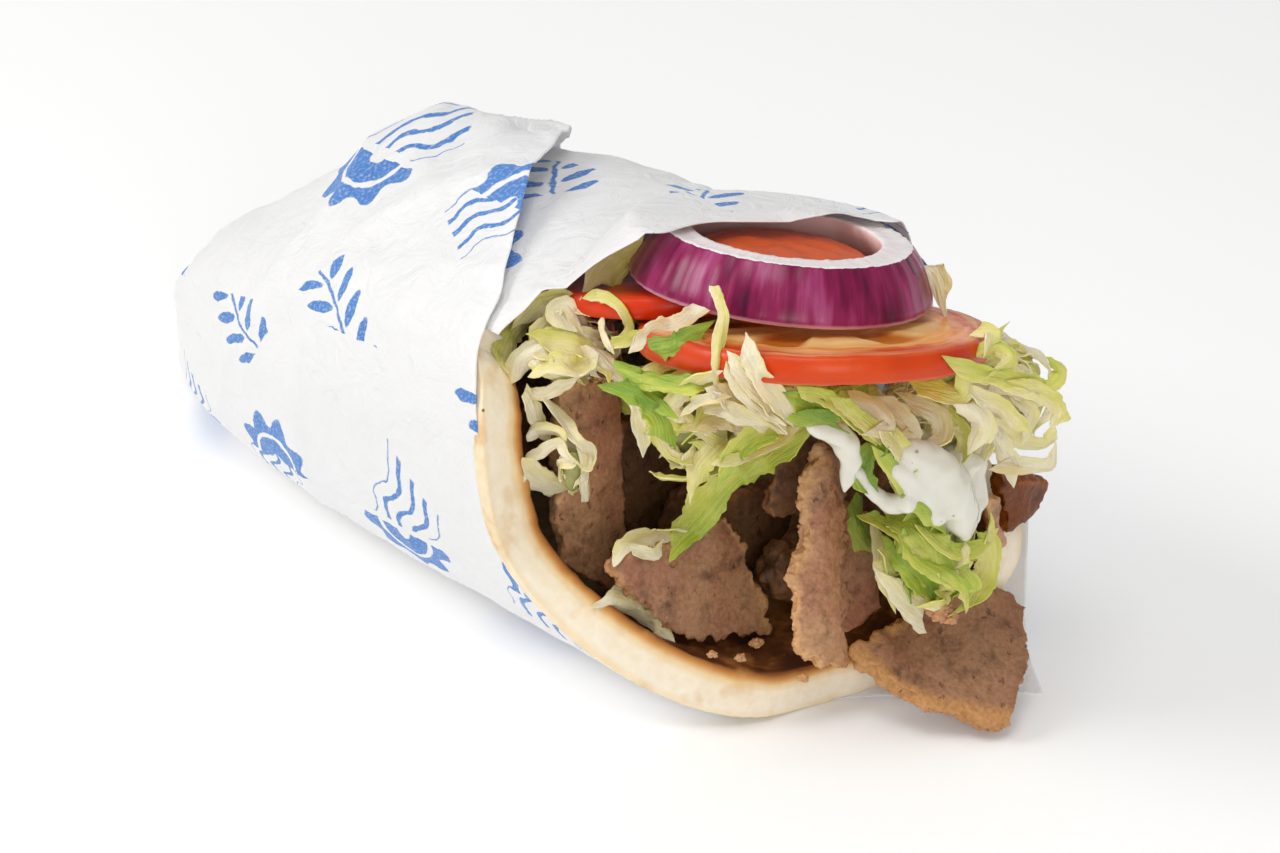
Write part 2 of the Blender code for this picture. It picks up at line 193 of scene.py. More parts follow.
def view_axes():
    """Directions to the right, up and back toward the eye of the open side's view."""
    turn = math.radians(VIEW_AZIMUTH)
    right = Vector((math.cos(turn), math.sin(turn), 0.0))
    back = way_back(VIEW_AZIMUTH, VIEW_RISE)
    return right, back.cross(right), back


def disc_frame(disc):
    """Matrix that lays a round topping, made flat about its own centre, on its tilted plane."""
    centre, slope_x, slope_y = disc[0], disc[1], disc[2]
    up = Vector((-slope_x, -slope_y, 1.0))
    return Matrix.Translation(Vector(centre)) @ up.to_track_quat("Z", "Y").to_matrix().to_4x4()


# ---------------------------------------------------------------- making and keeping pieces

def cad_shape(node):
    """The closed shape of a CAD node in mm, with its loose triangles merged."""
    shape = bmesh.new()
    shape.from_mesh(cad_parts[node].data)
    bmesh.ops.scale(shape, vec=(1.0 / MM,) * 3, verts=shape.verts)
    bmesh.ops.remove_doubles(shape, verts=shape.verts, dist=SAME_POINT)
    return shape


def refined(shape, *modifiers):
    """The shape after the given modifiers, each a type and its settings, as a new bmesh."""
    mesh = bpy.data.meshes.new("work")
    shape.to_mesh(mesh)
    shape.free()
    work = bpy.data.objects.new("work", mesh)
    bpy.context.scene.collection.objects.link(work)
    for kind, settings in modifiers:
        modifier = work.modifiers.new(kind, kind)
        for name, value in settings.items():
            setattr(modifier, name, value)
    result = bmesh.new()
    result.from_object(work, bpy.context.evaluated_depsgraph_get())
    bpy.data.objects.remove(work)
    bpy.data.meshes.remove(mesh)
    result.normal_update()
    return result


def keep(shape, name, look, slot, *nodes):
    """Turn a shape in mm into a finished piece that stands for these CAD nodes."""
    bmesh.ops.scale(shape, vec=(MM,) * 3, verts=shape.verts)
    mesh = bpy.data.meshes.new(name)
    shape.to_mesh(mesh)
    shape.free()
    mesh.materials.append(look)
    mesh.shade_smooth()
    piece = bpy.data.objects.new(name, mesh)
    bpy.context.scene.collection.objects.link(piece)
    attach(piece, "root")
    if nodes:
        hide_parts(*nodes)
    if slot != "paper":
        finished.append(piece)


# ---------------------------------------------------------------- materials

def linear(code):
    """Linear colour of an sRGB hex value."""
    channels = []
    for start in (0, 2, 4):
        value = int(code[start:start + 2], 16) / 255.0
        channels.append(value / 12.92 if value <= 0.04045 else ((value + 0.055) / 1.055) ** 2.4)
    return (*channels, 1.0)


def add(tree, kind, inputs=None, stops=None, **settings):
    """Add a shader node. An input is a value, a hex colour or the output that feeds it."""
    node = tree.nodes.new("ShaderNode" + kind)
    for name, value in settings.items():
        setattr(node, name, value)
    for key, value in (inputs or {}).items():
        if isinstance(value, bpy.types.NodeSocket):
            tree.links.new(value, node.inputs[key])
        else:
            node.inputs[key].default_value = linear(value) if isinstance(value, str) else value
    if stops:
        ramp = node.color_ramp.elements
        while len(ramp) < len(stops):
            ramp.new(0.5)
        for element, (place, colour) in zip(ramp, stops):
            element.position = place
            element.color = linear(colour)
    return node


def finish(name, roughness, **sockets):
    """A new material with its tree and its shader, whose constant sockets are set here."""
    look = bpy.data.materials.new(name)
    look.use_nodes = True
    tree = look.node_tree
    shader = tree.nodes["Principled BSDF"]
    shader.inputs["Roughness"].default_value = roughness
    for key, value in sockets.items():
        shader.inputs[key.replace("_", " ")].default_value = value
    return look, tree, shader


# ---------------------------------------------------------------- paper

# The print repeats every so many mm across and along the sheet, with a half drop.
PRINT_WIDTH = 84.0
PRINT_HEIGHT = 96.0
SUN_RADIUS = 15.0
SPRIG_HALF_LENGTH = 21.0
WAVES_HALF_LENGTH = 15.0
WAVES_HALF_HEIGHT = 9.5


def printed_cell(tree, place, shift_x, shift_y, turn):
    """Place in mm about the middle of one motif of the repeat, turned by an angle in degrees."""
    moved = add(tree, "VectorMath", {0: place, 1: (shift_x, shift_y, 0.0)}, operation="ADD").outputs[0]
    x, y, _ = add(tree, "SeparateXYZ", {0: moved}).outputs
    column = add(tree, "Math", {0: x, 1: PRINT_WIDTH}, operation="DIVIDE").outputs[0]
    column = add(tree, "Math", {0: column}, operation="FLOOR").outputs[0]
    half_width, half_height = PRINT_WIDTH / 2.0, PRINT_HEIGHT / 2.0
    y = add(tree, "Math", {0: column, 1: half_height, 2: y}, operation="MULTIPLY_ADD").outputs[0]
    x = add(tree, "Math", {0: x, 1: half_width, 2: -half_width}, operation="WRAP").outputs[0]
    y = add(tree, "Math", {0: y, 1: half_height, 2: -half_height}, operation="WRAP").outputs[0]
    local = add(tree, "CombineXYZ", {0: x, 1: y}).outputs[0]
    return add(tree, "VectorRotate", {"Vector": local, "Angle": math.radians(turn)},
               rotation_type="Z_AXIS").outputs[0]


def sun_print(tree, local):
    """Sun: a scalloped disc with a white ring and a white heart."""
    x, y, _ = add(tree, "SeparateXYZ", {0: local}).outputs
    reach = add(tree, "VectorMath", {0: local}, operation="LENGTH").outputs["Value"]
    around = add(tree, "Math", {0: y, 1: x}, operation="ARCTAN2").outputs[0]
    petals = add(tree, "Math", {0: around, 1: 9.0}, operation="MULTIPLY").outputs[0]
    petals = add(tree, "Math", {0: petals}, operation="COSINE").outputs[0]
    share = add(tree, "Math", {0: reach, 1: 1.0 / SUN_RADIUS}, operation="MULTIPLY").outputs[0]
    outline = add(tree, "Math", {0: petals, 1: -0.12, 2: share}, operation="MULTIPLY_ADD").outputs[0]
    disc = add(tree, "MapRange", {0: outline, 1: 0.89, 2: 0.86}).outputs[0]
    rings = add(tree, "ValToRGB", {"Fac": share}, stops=(
        (0.13, "000000"), (0.15, "ffffff"), (0.5, "ffffff"), (0.52, "000000"), (0.59, "000000"),
        (0.61, "ffffff"))).outputs[0]
    return add(tree, "Math", {0: disc, 1: rings}, operation="MULTIPLY").outputs[0]


def sprig_print(tree, local):
    """Sprig: a curved stem with slanting leaves in pairs."""
    x, y, _ = add(tree, "SeparateXYZ", {0: local}).outputs
    stem = add(tree, "Math", {0: x, 1: 0.11}, operation="MULTIPLY").outputs[0]
    stem = add(tree, "Math", {0: stem}, operation="SINE").outputs[0]
    off = add(tree, "Math", {0: stem, 1: -2.4, 2: y}, operation="MULTIPLY_ADD").outputs[0]
    off = add(tree, "Math", {0: off}, operation="ABSOLUTE").outputs[0]
    length = add(tree, "Math", {0: x}, operation="ABSOLUTE").outputs[0]
    stem = add(tree, "MapRange", {0: off, 1: 0.6, 2: 0.3}).outputs[0]
    slant = add(tree, "Math", {0: off, 1: -0.8, 2: x}, operation="MULTIPLY_ADD").outputs[0]
    pace = add(tree, "Math", {0: slant, 1: 3.9, 2: -3.9}, operation="WRAP").outputs[0]
    rise = add(tree, "Math", {0: off, 1: -4.6}, operation="ADD").outputs[0]
    rise = add(tree, "Math", {0: rise, 1: 0.55}, operation="MULTIPLY").outputs[0]
    leaf = add(tree, "CombineXYZ", {0: pace, 1: rise}).outputs[0]
    leaf = add(tree, "VectorMath", {0: leaf}, operation="LENGTH").outputs["Value"]
    leaf = add(tree, "MapRange", {0: leaf, 1: 2.0, 2: 1.75}).outputs[0]
    both = add(tree, "Math", {0: stem, 1: leaf}, operation="MAXIMUM").outputs[0]
    within = add(tree, "MapRange", {0: length, 1: SPRIG_HALF_LENGTH, 2: SPRIG_HALF_LENGTH - 0.4}).outputs[0]
    return add(tree, "Math", {0: both, 1: within}, operation="MULTIPLY").outputs[0]


def waves_print(tree, local):
    """Waves: wavy strokes one above the other."""
    x, y, _ = add(tree, "SeparateXYZ", {0: local}).outputs
    swell = add(tree, "Math", {0: x, 1: 0.52}, operation="MULTIPLY").outputs[0]
    swell = add(tree, "Math", {0: swell}, operation="SINE").outputs[0]
    level = add(tree, "Math", {0: swell, 1: 1.3, 2: y}, operation="MULTIPLY_ADD").outputs[0]
    stroke = add(tree, "Math", {0: level, 1: 2.4, 2: -2.4}, operation="WRAP").outputs[0]
    stroke = add(tree, "Math", {0: stroke}, operation="ABSOLUTE").outputs[0]
    stroke = add(tree, "MapRange", {0: stroke, 1: 0.85, 2: 0.6}).outputs[0]
    length = add(tree, "Math", {0: x}, operation="ABSOLUTE").outputs[0]
    height = add(tree, "Math", {0: level}, operation="ABSOLUTE").outputs[0]
    wide = add(tree, "MapRange", {0: length, 1: WAVES_HALF_LENGTH, 2: WAVES_HALF_LENGTH - 0.4}).outputs[0]
    high = add(tree, "MapRange", {0: height, 1: WAVES_HALF_HEIGHT, 2: WAVES_HALF_HEIGHT - 0.4}).outputs[0]
    within = add(tree, "Math", {0: wide, 1: high}, operation="MULTIPLY").outputs[0]
    return add(tree, "Math", {0: stroke, 1: within}, operation="MULTIPLY").outputs[0]


def greaseproof_paper():
    """Greaseproof paper, machine-made and lightly waxed: white with a soft sheen and fine fibres.

    It is printed in one blue ink with a half-drop repeat of suns, leafy sprigs and waves.
    """
    look, tree, shader = finish("greaseproof_paper", 0.5, Specular_IOR_Level=0.35,
                                Subsurface_Weight=0.3, Subsurface_Scale=0.002)
    shader.inputs["Subsurface Radius"].default_value = (1.0, 1.0, 1.0)
    sheet = add(tree, "UVMap", uv_map="sheet").outputs[0]
    flat = add(tree, "VectorMath", {0: sheet, 3: 1.0 / MM}, operation="SCALE").outputs[0]
    wobble = add(tree, "TexNoise", {"Vector": flat, "Scale": 0.35, "Detail": 2.0}).outputs["Color"]
    drawn = add(tree, "VectorMath", {0: wobble, 1: (1.6, 1.6, 0.0), 2: flat},
                operation="MULTIPLY_ADD").outputs[0]
    sun = sun_print(tree, printed_cell(tree, drawn, 28.0, 70.0, 20.0))
    sprig = sprig_print(tree, printed_cell(tree, drawn, -12.0, 42.0, 58.0))
    waves = waves_print(tree, printed_cell(tree, drawn, 26.0, 22.0, -30.0))
    ink = add(tree, "Math", {0: sun, 1: sprig}, operation="MAXIMUM").outputs[0]
    ink = add(tree, "Math", {0: ink, 1: waves}, operation="MAXIMUM").outputs[0]
    # The ink lies thin where the wax took it badly, in patches under a millimetre.
    worn = add(tree, "TexNoise", {"Vector": flat, "Scale": 1.3, "Detail": 4.0}).outputs["Fac"]
    worn = add(tree, "MapRange", {0: worn, 1: 0.3, 2: 0.5, 3: 0.62, 4: 0.95}).outputs[0]
    ink = add(tree, "Math", {0: ink, 1: worn}, operation="MULTIPLY").outputs[0]
    shade = add(tree, "TexNoise", {"Vector": flat, "Scale": 0.05, "Detail": 2.0}).outputs["Fac"]
    blue = add(tree, "Mix", {0: shade, 6: "1264bc", 7: "3f88d6"}, data_type="RGBA").outputs[2]
    white = add(tree, "Mix", {0: shade, 6: "f1f1f1", 7: "f8f7f7"}, data_type="RGBA").outputs[2]
    colour = add(tree, "Mix", {0: ink, 6: white, 7: blue}, data_type="RGBA").outputs[2]
    tree.links.new(colour, shader.inputs["Base Color"])
    # Handling wrinkles of 3 to 10 mm and fibres of about a third of a millimetre.
    wrinkle = add(tree, "TexNoise", {"Vector": flat, "Scale": 0.13, "Detail": 3.0, "Roughness": 0.6,
                                     "Distortion": 1.2}).outputs["Fac"]
    fibre = add(tree, "TexNoise", {"Vector": flat, "Scale": 3.0, "Detail": 2.0}).outputs["Fac"]
    relief = add(tree, "Math", {0: fibre, 1: 0.03, 2: wrinkle}, operation="MULTIPLY_ADD").outputs[0]
    bump = add(tree, "Bump", {"Height": relief, "Strength": 0.5, "Distance": 0.0018}).outputs[0]
    tree.links.new(bump, shader.inputs["Normal"])
    return look


# Seed of the noise that bends the creases, which would otherwise follow the clock.
CREASE_SEED = 1


def crease(first, second, size, seed):
    """Height from 0 to 1 of folded facets about one size across, with sharp valleys between."""
    place = Vector((first / size, second / size, seed))
    place += 0.45 * noise.noise_vector(place * 0.9)
    near = noise.voronoi(place)[0]
    return min(1.0, (near[1] - near[0]) * 1.6)


# How far in mm a single sharp fold reaches to each side.
FOLD_REACH = 8.0
# The folds: place round the roll and along it in mm, direction in degrees, length and height in mm.
FOLDS = (
    (74, -62, 18, 66, 2.4), (55, -78, -38, 52, 2.0), (88, -50, 74, 46, 2.4), (62, -32, 58, 44, 1.6),
    (30, -74, 8, 78, 1.2), (8, -42, -16, 66, 0.9), (-22, -60, 6, 84, 0.8), (78, -88, -58, 48, 2.2),
    (98, -40, 28, 42, 2.0), (38, -20, 76, 34, 1.0), (46, -50, 36, 40, 1.3), (18, -100, -28, 50, 1.2),
    (-6, -88, 34, 46, 0.9), (-40, -20, -12, 60, 0.7),
)


def fold_height(round_mm, along):
    """Height in mm of the single folds at a place of the sheet."""
    total = 0.0
    for middle_round, middle_along, direction, length, height in FOLDS:
        way = math.radians(direction)
        across, down = round_mm - middle_round, along - middle_along
        run = (across * math.cos(way) + down * math.sin(way)) / (length / 2.0)
        off = abs(down * math.cos(way) - across * math.sin(way)) / FOLD_REACH
        if abs(run) < 1.0 and off < 1.0:
            total += height * (1.0 - run * run) * (1.0 - off) ** 1.7
    return total


# How far in mm the loose outer panel and its crumpled peak stand off the wrap and its valley dips,
# how far the seam and the flared far side stand off, how much closer the paper hugs the bread near
# the mouth, and how far out the floor flap lies.
PANEL_LIFT = 5.5
PANEL_PEAK = 4.5
PANEL_VALLEY = 4.0
SEAM_LIFT = 1.5
FLARE_LIFT = 7.5
HUG_DEPTH = 0.7
FLOOR_FLAP_OUT = 8.0
# Paper over the toppings keeps this far above them in mm, runs level this far past their rim, and
# then falls by this much for each mm. Only its turns below the last value, in degrees, are raised.
DRAPE_CLEARANCE = 1.4
DRAPE_REACH = 3.5
DRAPE_FALL = 1.2
DRAPED_TURN = 122.0
# Heights in mm of the creases and of the pleats at the tail, and the sizes across a crease's facets.
BIG_CREASE = 1.9
BIG_FACET = 23.0
SMALL_CREASE = 0.8
SMALL_FACET = 10.0
PLEAT_DEPTH = 0.9


def paper_lift(along, turn, round_mm):
    """Distance in mm of the paper from the wrap's own outline."""
    lift = SEAM_LIFT * blend(332.0, 359.0, turn)
    hug = blend(95.0, 135.0, turn) * (1.0 - blend(322.0, 345.0, turn))
    lift -= HUG_DEPTH * hug * blend(-40.0, 0.0, along)
    loose = blend(366.0, 412.0, turn) * (1.0 - 0.7 * blend(412.0, 432.0, turn))
    lift += PANEL_LIFT * loose * blend(-108.0, -90.0, along)
    peak = hump(-100.0, -54.0, along) * hump(390.0, 430.0, turn)
    valley = hump(-108.0, -78.0, along) * blend(392.0, 402.0, turn)
    lift += PANEL_PEAK * peak - PANEL_VALLEY * valley
    flare = blend(44.0, 78.0, turn) * (1.0 - blend(112.0, 150.0, turn))
    lift += FLARE_LIFT * flare * blend(-12.0, 42.0, along)
    # Handled places are crumpled; the rest is pulled nearly smooth.
    handled = 0.22 + 0.78 * blend(376.0, 410.0, turn) * (1.0 - blend(-48.0, -10.0, along))
    handled = max(handled, 0.9 * (1.0 - blend(-140.0, -112.0, along)))
    handled = max(handled, 0.6 * flare)
    lift += handled * BIG_CREASE * crease(round_mm, along, BIG_FACET, 4.0)
    lift += handled * SMALL_CREASE * (crease(round_mm, along, SMALL_FACET, 9.0) - 1.0)
    lift += fold_height(round_mm, along) * blend(250.0, 300.0, turn)
    pleat = math.sin(turn * 0.155 + 2.0 * math.sin(turn * 0.03))
    return lift + PLEAT_DEPTH * pleat * (1.0 - blend(-142.0, -108.0, along))


def drape_over(point, disc):
    """Raise a point of the paper that would lie under or in a round topping."""
    centre, slope_x, slope_y, radius, height = disc
    x, y = point.x - centre[0], point.y - centre[1]
    top = centre[2] + slope_x * x + slope_y * y + height * 1.03 + DRAPE_CLEARANCE
    beyond = math.hypot(x, y) - radius - DRAPE_REACH
    if beyond > 0.0:
        top -= DRAPE_FALL * beyond
    point.z = max(point.z, top)


# The sheet's grid: its cells along and round, the shares of it in the pinched end, the folded tail
# and the body, and the lengths in mm of tail and mouth.
SHEET_CELLS = (140, 320)
PINCH_SHARE = 0.04
TAIL_SHARE = 0.1
BODY_SHARE = 0.45
TAIL_LENGTH = 8.0
MOUTH_LENGTH = 48.0
# The tail is pressed nearly flat at this height in mm and tucked in by this much. The cut edge
# wavers by this much in mm, and the sheet lies this far above the floor.
PINCH_HEIGHT = 15.4
PINCH_PRESS = 0.85
PINCH_TUCK = 5.0
EDGE_WAVER = 0.35
FLOOR_GAP = 0.15
# Turn in degrees from which the distance round the roll is measured.
ROUND_ZERO = 330.0


def paper_place(u, v):
    """Point of the paper, with its distance round the roll and along it, all in mm."""
    turn = v * PAPER_TURN
    edge = curve(PAPER_EDGE, turn)[0] + EDGE_WAVER * noise.noise(Vector((turn * 0.12, 0.0, 5.0)))
    pinch = max(0.0, 1.0 - u / PINCH_SHARE)
    share = max(0.0, u - PINCH_SHARE) / (1.0 - PINCH_SHARE)
    body_start = TAIL_END + TAIL_LENGTH
    mouth_start = edge - MOUTH_LENGTH
    before_mouth = TAIL_SHARE + BODY_SHARE
    if share < TAIL_SHARE:
        along = TAIL_END + share / TAIL_SHARE * TAIL_LENGTH
    elif share < before_mouth:
        along = body_start + (share - TAIL_SHARE) / BODY_SHARE * (mouth_start - body_start)
    else:
        along = mouth_start + (share - before_mouth) / (1.0 - before_mouth) * MOUTH_LENGTH
    half = curve(SECTIONS, along)[1]
    round_mm = math.radians(turn - ROUND_ZERO) * half
    point = wrap_point(along, PAPER_START_ANGLE - turn, -paper_lift(along, turn, round_mm))
    on_floor = blend(56.0, 76.0, along) * blend(157.0, 174.0, turn) * (1.0 - blend(250.0, 275.0, turn))
    point.z *= 1.0 - on_floor
    far_side = blend(118.0, 150.0, turn) * (1.0 - blend(155.0, 174.0, turn))
    point.y += FLOOR_FLAP_OUT * blend(45.0, 62.0, along) * far_side
    if turn < DRAPED_TURN:
        drape_over(point, TOMATO_BACK)
        drape_over(point, ONION)
    point.z = max(point.z, FLOOR_GAP)
    point.z = PINCH_HEIGHT + (point.z - PINCH_HEIGHT) * (1.0 - PINCH_PRESS * pinch)
    point.x += PINCH_TUCK * pinch
    return point, round_mm, along


def make_paper():
    """The paper as one thin sheet, rolled round the wrap, with its flat layout as its UV."""
    noise.seed_set(CREASE_SEED)
    shape = bmesh.new()
    bmesh.ops.create_grid(shape, x_segments=SHEET_CELLS[0], y_segments=SHEET_CELLS[1], size=0.5)
    sheet = shape.loops.layers.uv.new("sheet")
    flat = {}
    for vert in shape.verts:
        point, round_mm, along = paper_place(vert.co.x + 0.5, vert.co.y + 0.5)
        flat[vert] = (round_mm * MM, along * MM)
        vert.co = point
    for face in shape.faces:
        for loop in face.loops:
            loop[sheet].uv = flat[loop.vert]
    bmesh.ops.reverse_faces(shape, faces=shape.faces)
    shape = refined(shape, ("SOLIDIFY", {"thickness": PAPER_WALL, "offset": -1.0}))
    keep(shape, "printed_paper", greaseproof_paper(), "paper", "paper_wrap")


# ---------------------------------------------------------------- bread

def baked_pita():
    """Pita baked on a hot griddle: matt cream crumb, golden skin, toasted where it touched the iron, and a
    darkened inner face inside the mouth that is partly painted shade.
    """
    look, tree, shader = finish("baked_pita", 0.72, Specular_IOR_Level=0.3, Subsurface_Weight=0.1,
                                Subsurface_Scale=0.003)
    place = add(tree, "TexCoord").outputs["Object"]
    depth = add(tree, "Attribute", attribute_name="depth").outputs["Fac"]
    rim = add(tree, "Attribute", attribute_name="rim").outputs["Fac"]
    inward = add(tree, "Attribute", attribute_name="inward").outputs["Fac"]
    broad = add(tree, "TexNoise", {"Vector": place, "Scale": 55.0, "Detail": 4.0}).outputs["Fac"]
    fine = add(tree, "TexNoise", {"Vector": place, "Scale": 420.0, "Detail": 5.0}).outputs["Fac"]
    # Cream rim with a browned inner edge: depth runs in mm from the outer skin to the inner.
    level = add(tree, "Math", {0: broad, 1: 2.6, 2: depth}, operation="MULTIPLY_ADD").outputs[0]
    level = add(tree, "MapRange", {0: level, 1: 1.3, 2: 1.3 + PITA_THICKNESS}).outputs[0]
    crumb = add(tree, "ValToRGB", {"Fac": level}, stops=(
        (0.0, "f6dfb4"), (0.2, "fdf2dd"), (0.6, "fbecd2"), (0.76, "f0d3a0"), (0.88, "cf9048"),
        (1.0, "84481a"))).outputs[0]
    # Blisters of about 10 mm on the skin.
    blister = add(tree, "TexNoise", {"Vector": place, "Scale": 95.0, "Detail": 3.0,
                                     "Roughness": 0.6}).outputs["Fac"]
    skin = add(tree, "ValToRGB", {"Fac": blister}, stops=(
        (0.35, "f6e8cf"), (0.56, "efdab4"), (0.68, "ddb47a"), (0.82, "a8743a"))).outputs[0]
    stain = add(tree, "MapRange", {0: blister, 1: 0.54, 2: 0.7, 4: 0.5}).outputs[0]
    crumb = add(tree, "Mix", {0: stain, 6: crumb, 7: "dfae66"}, data_type="RGBA").outputs[2]
    # The inner face is dark in a band inside the mouth: partly toasting, partly painted shade of the
    # hollow.
    uneven = add(tree, "Math", {0: blister, 1: 10.0, 2: inward}, operation="MULTIPLY_ADD").outputs[0]
    toast_and_shade_band = add(tree, "MapRange", {0: uneven, 1: 70.0, 2: 30.0}).outputs[0]
    inner = add(tree, "MapRange", {0: depth, 1: 5.5, 2: 8.0}).outputs[0]
    toast_and_shade_band = add(tree, "Math", {0: toast_and_shade_band, 1: inner}, operation="MULTIPLY").outputs[0]
    toast_and_shade = add(tree, "ValToRGB", {"Fac": blister}, stops=(
        (0.36, "45220c"), (0.5, "683a16"), (0.64, "a06a34"))).outputs[0]
    skin = add(tree, "Mix", {0: toast_and_shade_band, 6: skin, 7: toast_and_shade}, data_type="RGBA").outputs[2]
    on_rim = add(tree, "MapRange", {0: rim, 1: 0.12, 2: 0.5}).outputs[0]
    colour = add(tree, "Mix", {0: on_rim, 6: skin, 7: crumb}, data_type="RGBA").outputs[2]
    warm = add(tree, "ValToRGB", {"Fac": fine}, stops=((0.35, "ecdcc0"), (0.6, "ffffff"))).outputs[0]
    colour = add(tree, "Mix", {0: 0.2, 6: colour, 7: warm}, data_type="RGBA",
                 blend_type="MULTIPLY").outputs[2]
    # Scattered freckles of browned flour, about half a millimetre.
    grain = add(tree, "TexVoronoi", {"Vector": place, "Scale": 230.0}, feature="F1").outputs["Distance"]
    grain = add(tree, "MapRange", {0: grain, 1: 0.1, 2: 0.06}).outputs[0]
    some = add(tree, "TexNoise", {"Vector": place, "Scale": 160.0, "Detail": 1.0}).outputs["Fac"]
    some = add(tree, "MapRange", {0: some, 1: 0.62, 2: 0.66}).outputs[0]
    grain = add(tree, "Math", {0: grain, 1: some}, operation="MULTIPLY").outputs[0]
    colour = add(tree, "Mix", {0: grain, 6: colour, 7: "8a6236"}, data_type="RGBA").outputs[2]
    tree.links.new(colour, shader.inputs["Base Color"])
    relief = add(tree, "Math", {0: fine, 1: 0.35, 2: blister}, operation="MULTIPLY_ADD").outputs[0]
    bump = add(tree, "Bump", {"Height": relief, "Strength": 0.45, "Distance": 0.0012}).outputs[0]
    tree.links.new(bump, shader.inputs["Normal"])
    return look


# The mouth stands out by this much in mm low on the far side, between these angles.
LIP_REACH = 6.5
LIP_ANGLES = (300.0, 362.0)


def pita_place(u, v):
    """Point of the pita's outer face in mm, and its distance from the mouth."""
    angle = PITA_FAR_ANGLE + v * (PITA_NEAR_ANGLE - PITA_FAR_ANGLE)
    mouth = curve(PITA_MOUTH, angle)[0] + LIP_REACH * hump(*LIP_ANGLES, angle)
    tail = curve(PITA_TAIL, angle)[0]
    return wrap_point(tail + u * (mouth - tail), angle, PITA_GAP), (1.0 - u) * (mouth - tail)


# How far in mm the baked skin swells out toward the paper, how far more at the lip, and how wide
# the rim's rounding is.
SNUG = 0.8
LIP_SWELL = 1.2
RIM_ROUNDING = 3.2


def make_pita():
    """The pita thickened inward from its outer face, with a soft rim and blistered skin."""
    shape = bmesh.new()
    bmesh.ops.create_grid(shape, x_segments=20, y_segments=36, size=0.5)
    inward = shape.verts.layers.float.new("inward")
    for vert in shape.verts:
        point, distance = pita_place(vert.co.x + 0.5, vert.co.y + 0.5)
        vert.co = point
        vert[inward] = distance
    shape.normal_update()
    outer = BVHTree.FromBMesh(shape)
    shape = refined(
        shape,
        ("SOLIDIFY", {"thickness": PITA_THICKNESS, "offset": -1.0, "use_even_offset": True,
                      "use_quality_normals": True}),
        ("BEVEL", {"width": RIM_ROUNDING, "segments": 4, "limit_method": "ANGLE",
                   "angle_limit": math.radians(45)}),
        ("SUBSURF", {"levels": 2, "render_levels": 2}))
    inward = shape.verts.layers.float["inward"]
    depth = shape.verts.layers.float.new("depth")
    rim = shape.verts.layers.float.new("rim")
    for vert in shape.verts:
        _, skin, _, distance = outer.find_nearest(vert.co)
        vert[depth] = distance
        vert[rim] = 1.0 - abs(vert.normal.dot(skin))
        puff = 0.5 * noise.fractal(vert.co / 9.0, 1.0, 2.0, 3)
        puff += 0.22 * noise.noise(vert.co / 2.2)
        inner = min(distance / PITA_THICKNESS, 1.0)
        swell = SNUG + LIP_SWELL * (1.0 - blend(2.0, 6.5, vert[inward]))
        vert.co += vert.normal * puff * (0.3 + 0.7 * inner) + skin * swell * (1.0 - inner)
    keep(shape, "baked_pita", baked_pita(), "pita", "pita")


# ---------------------------------------------------------------- meat

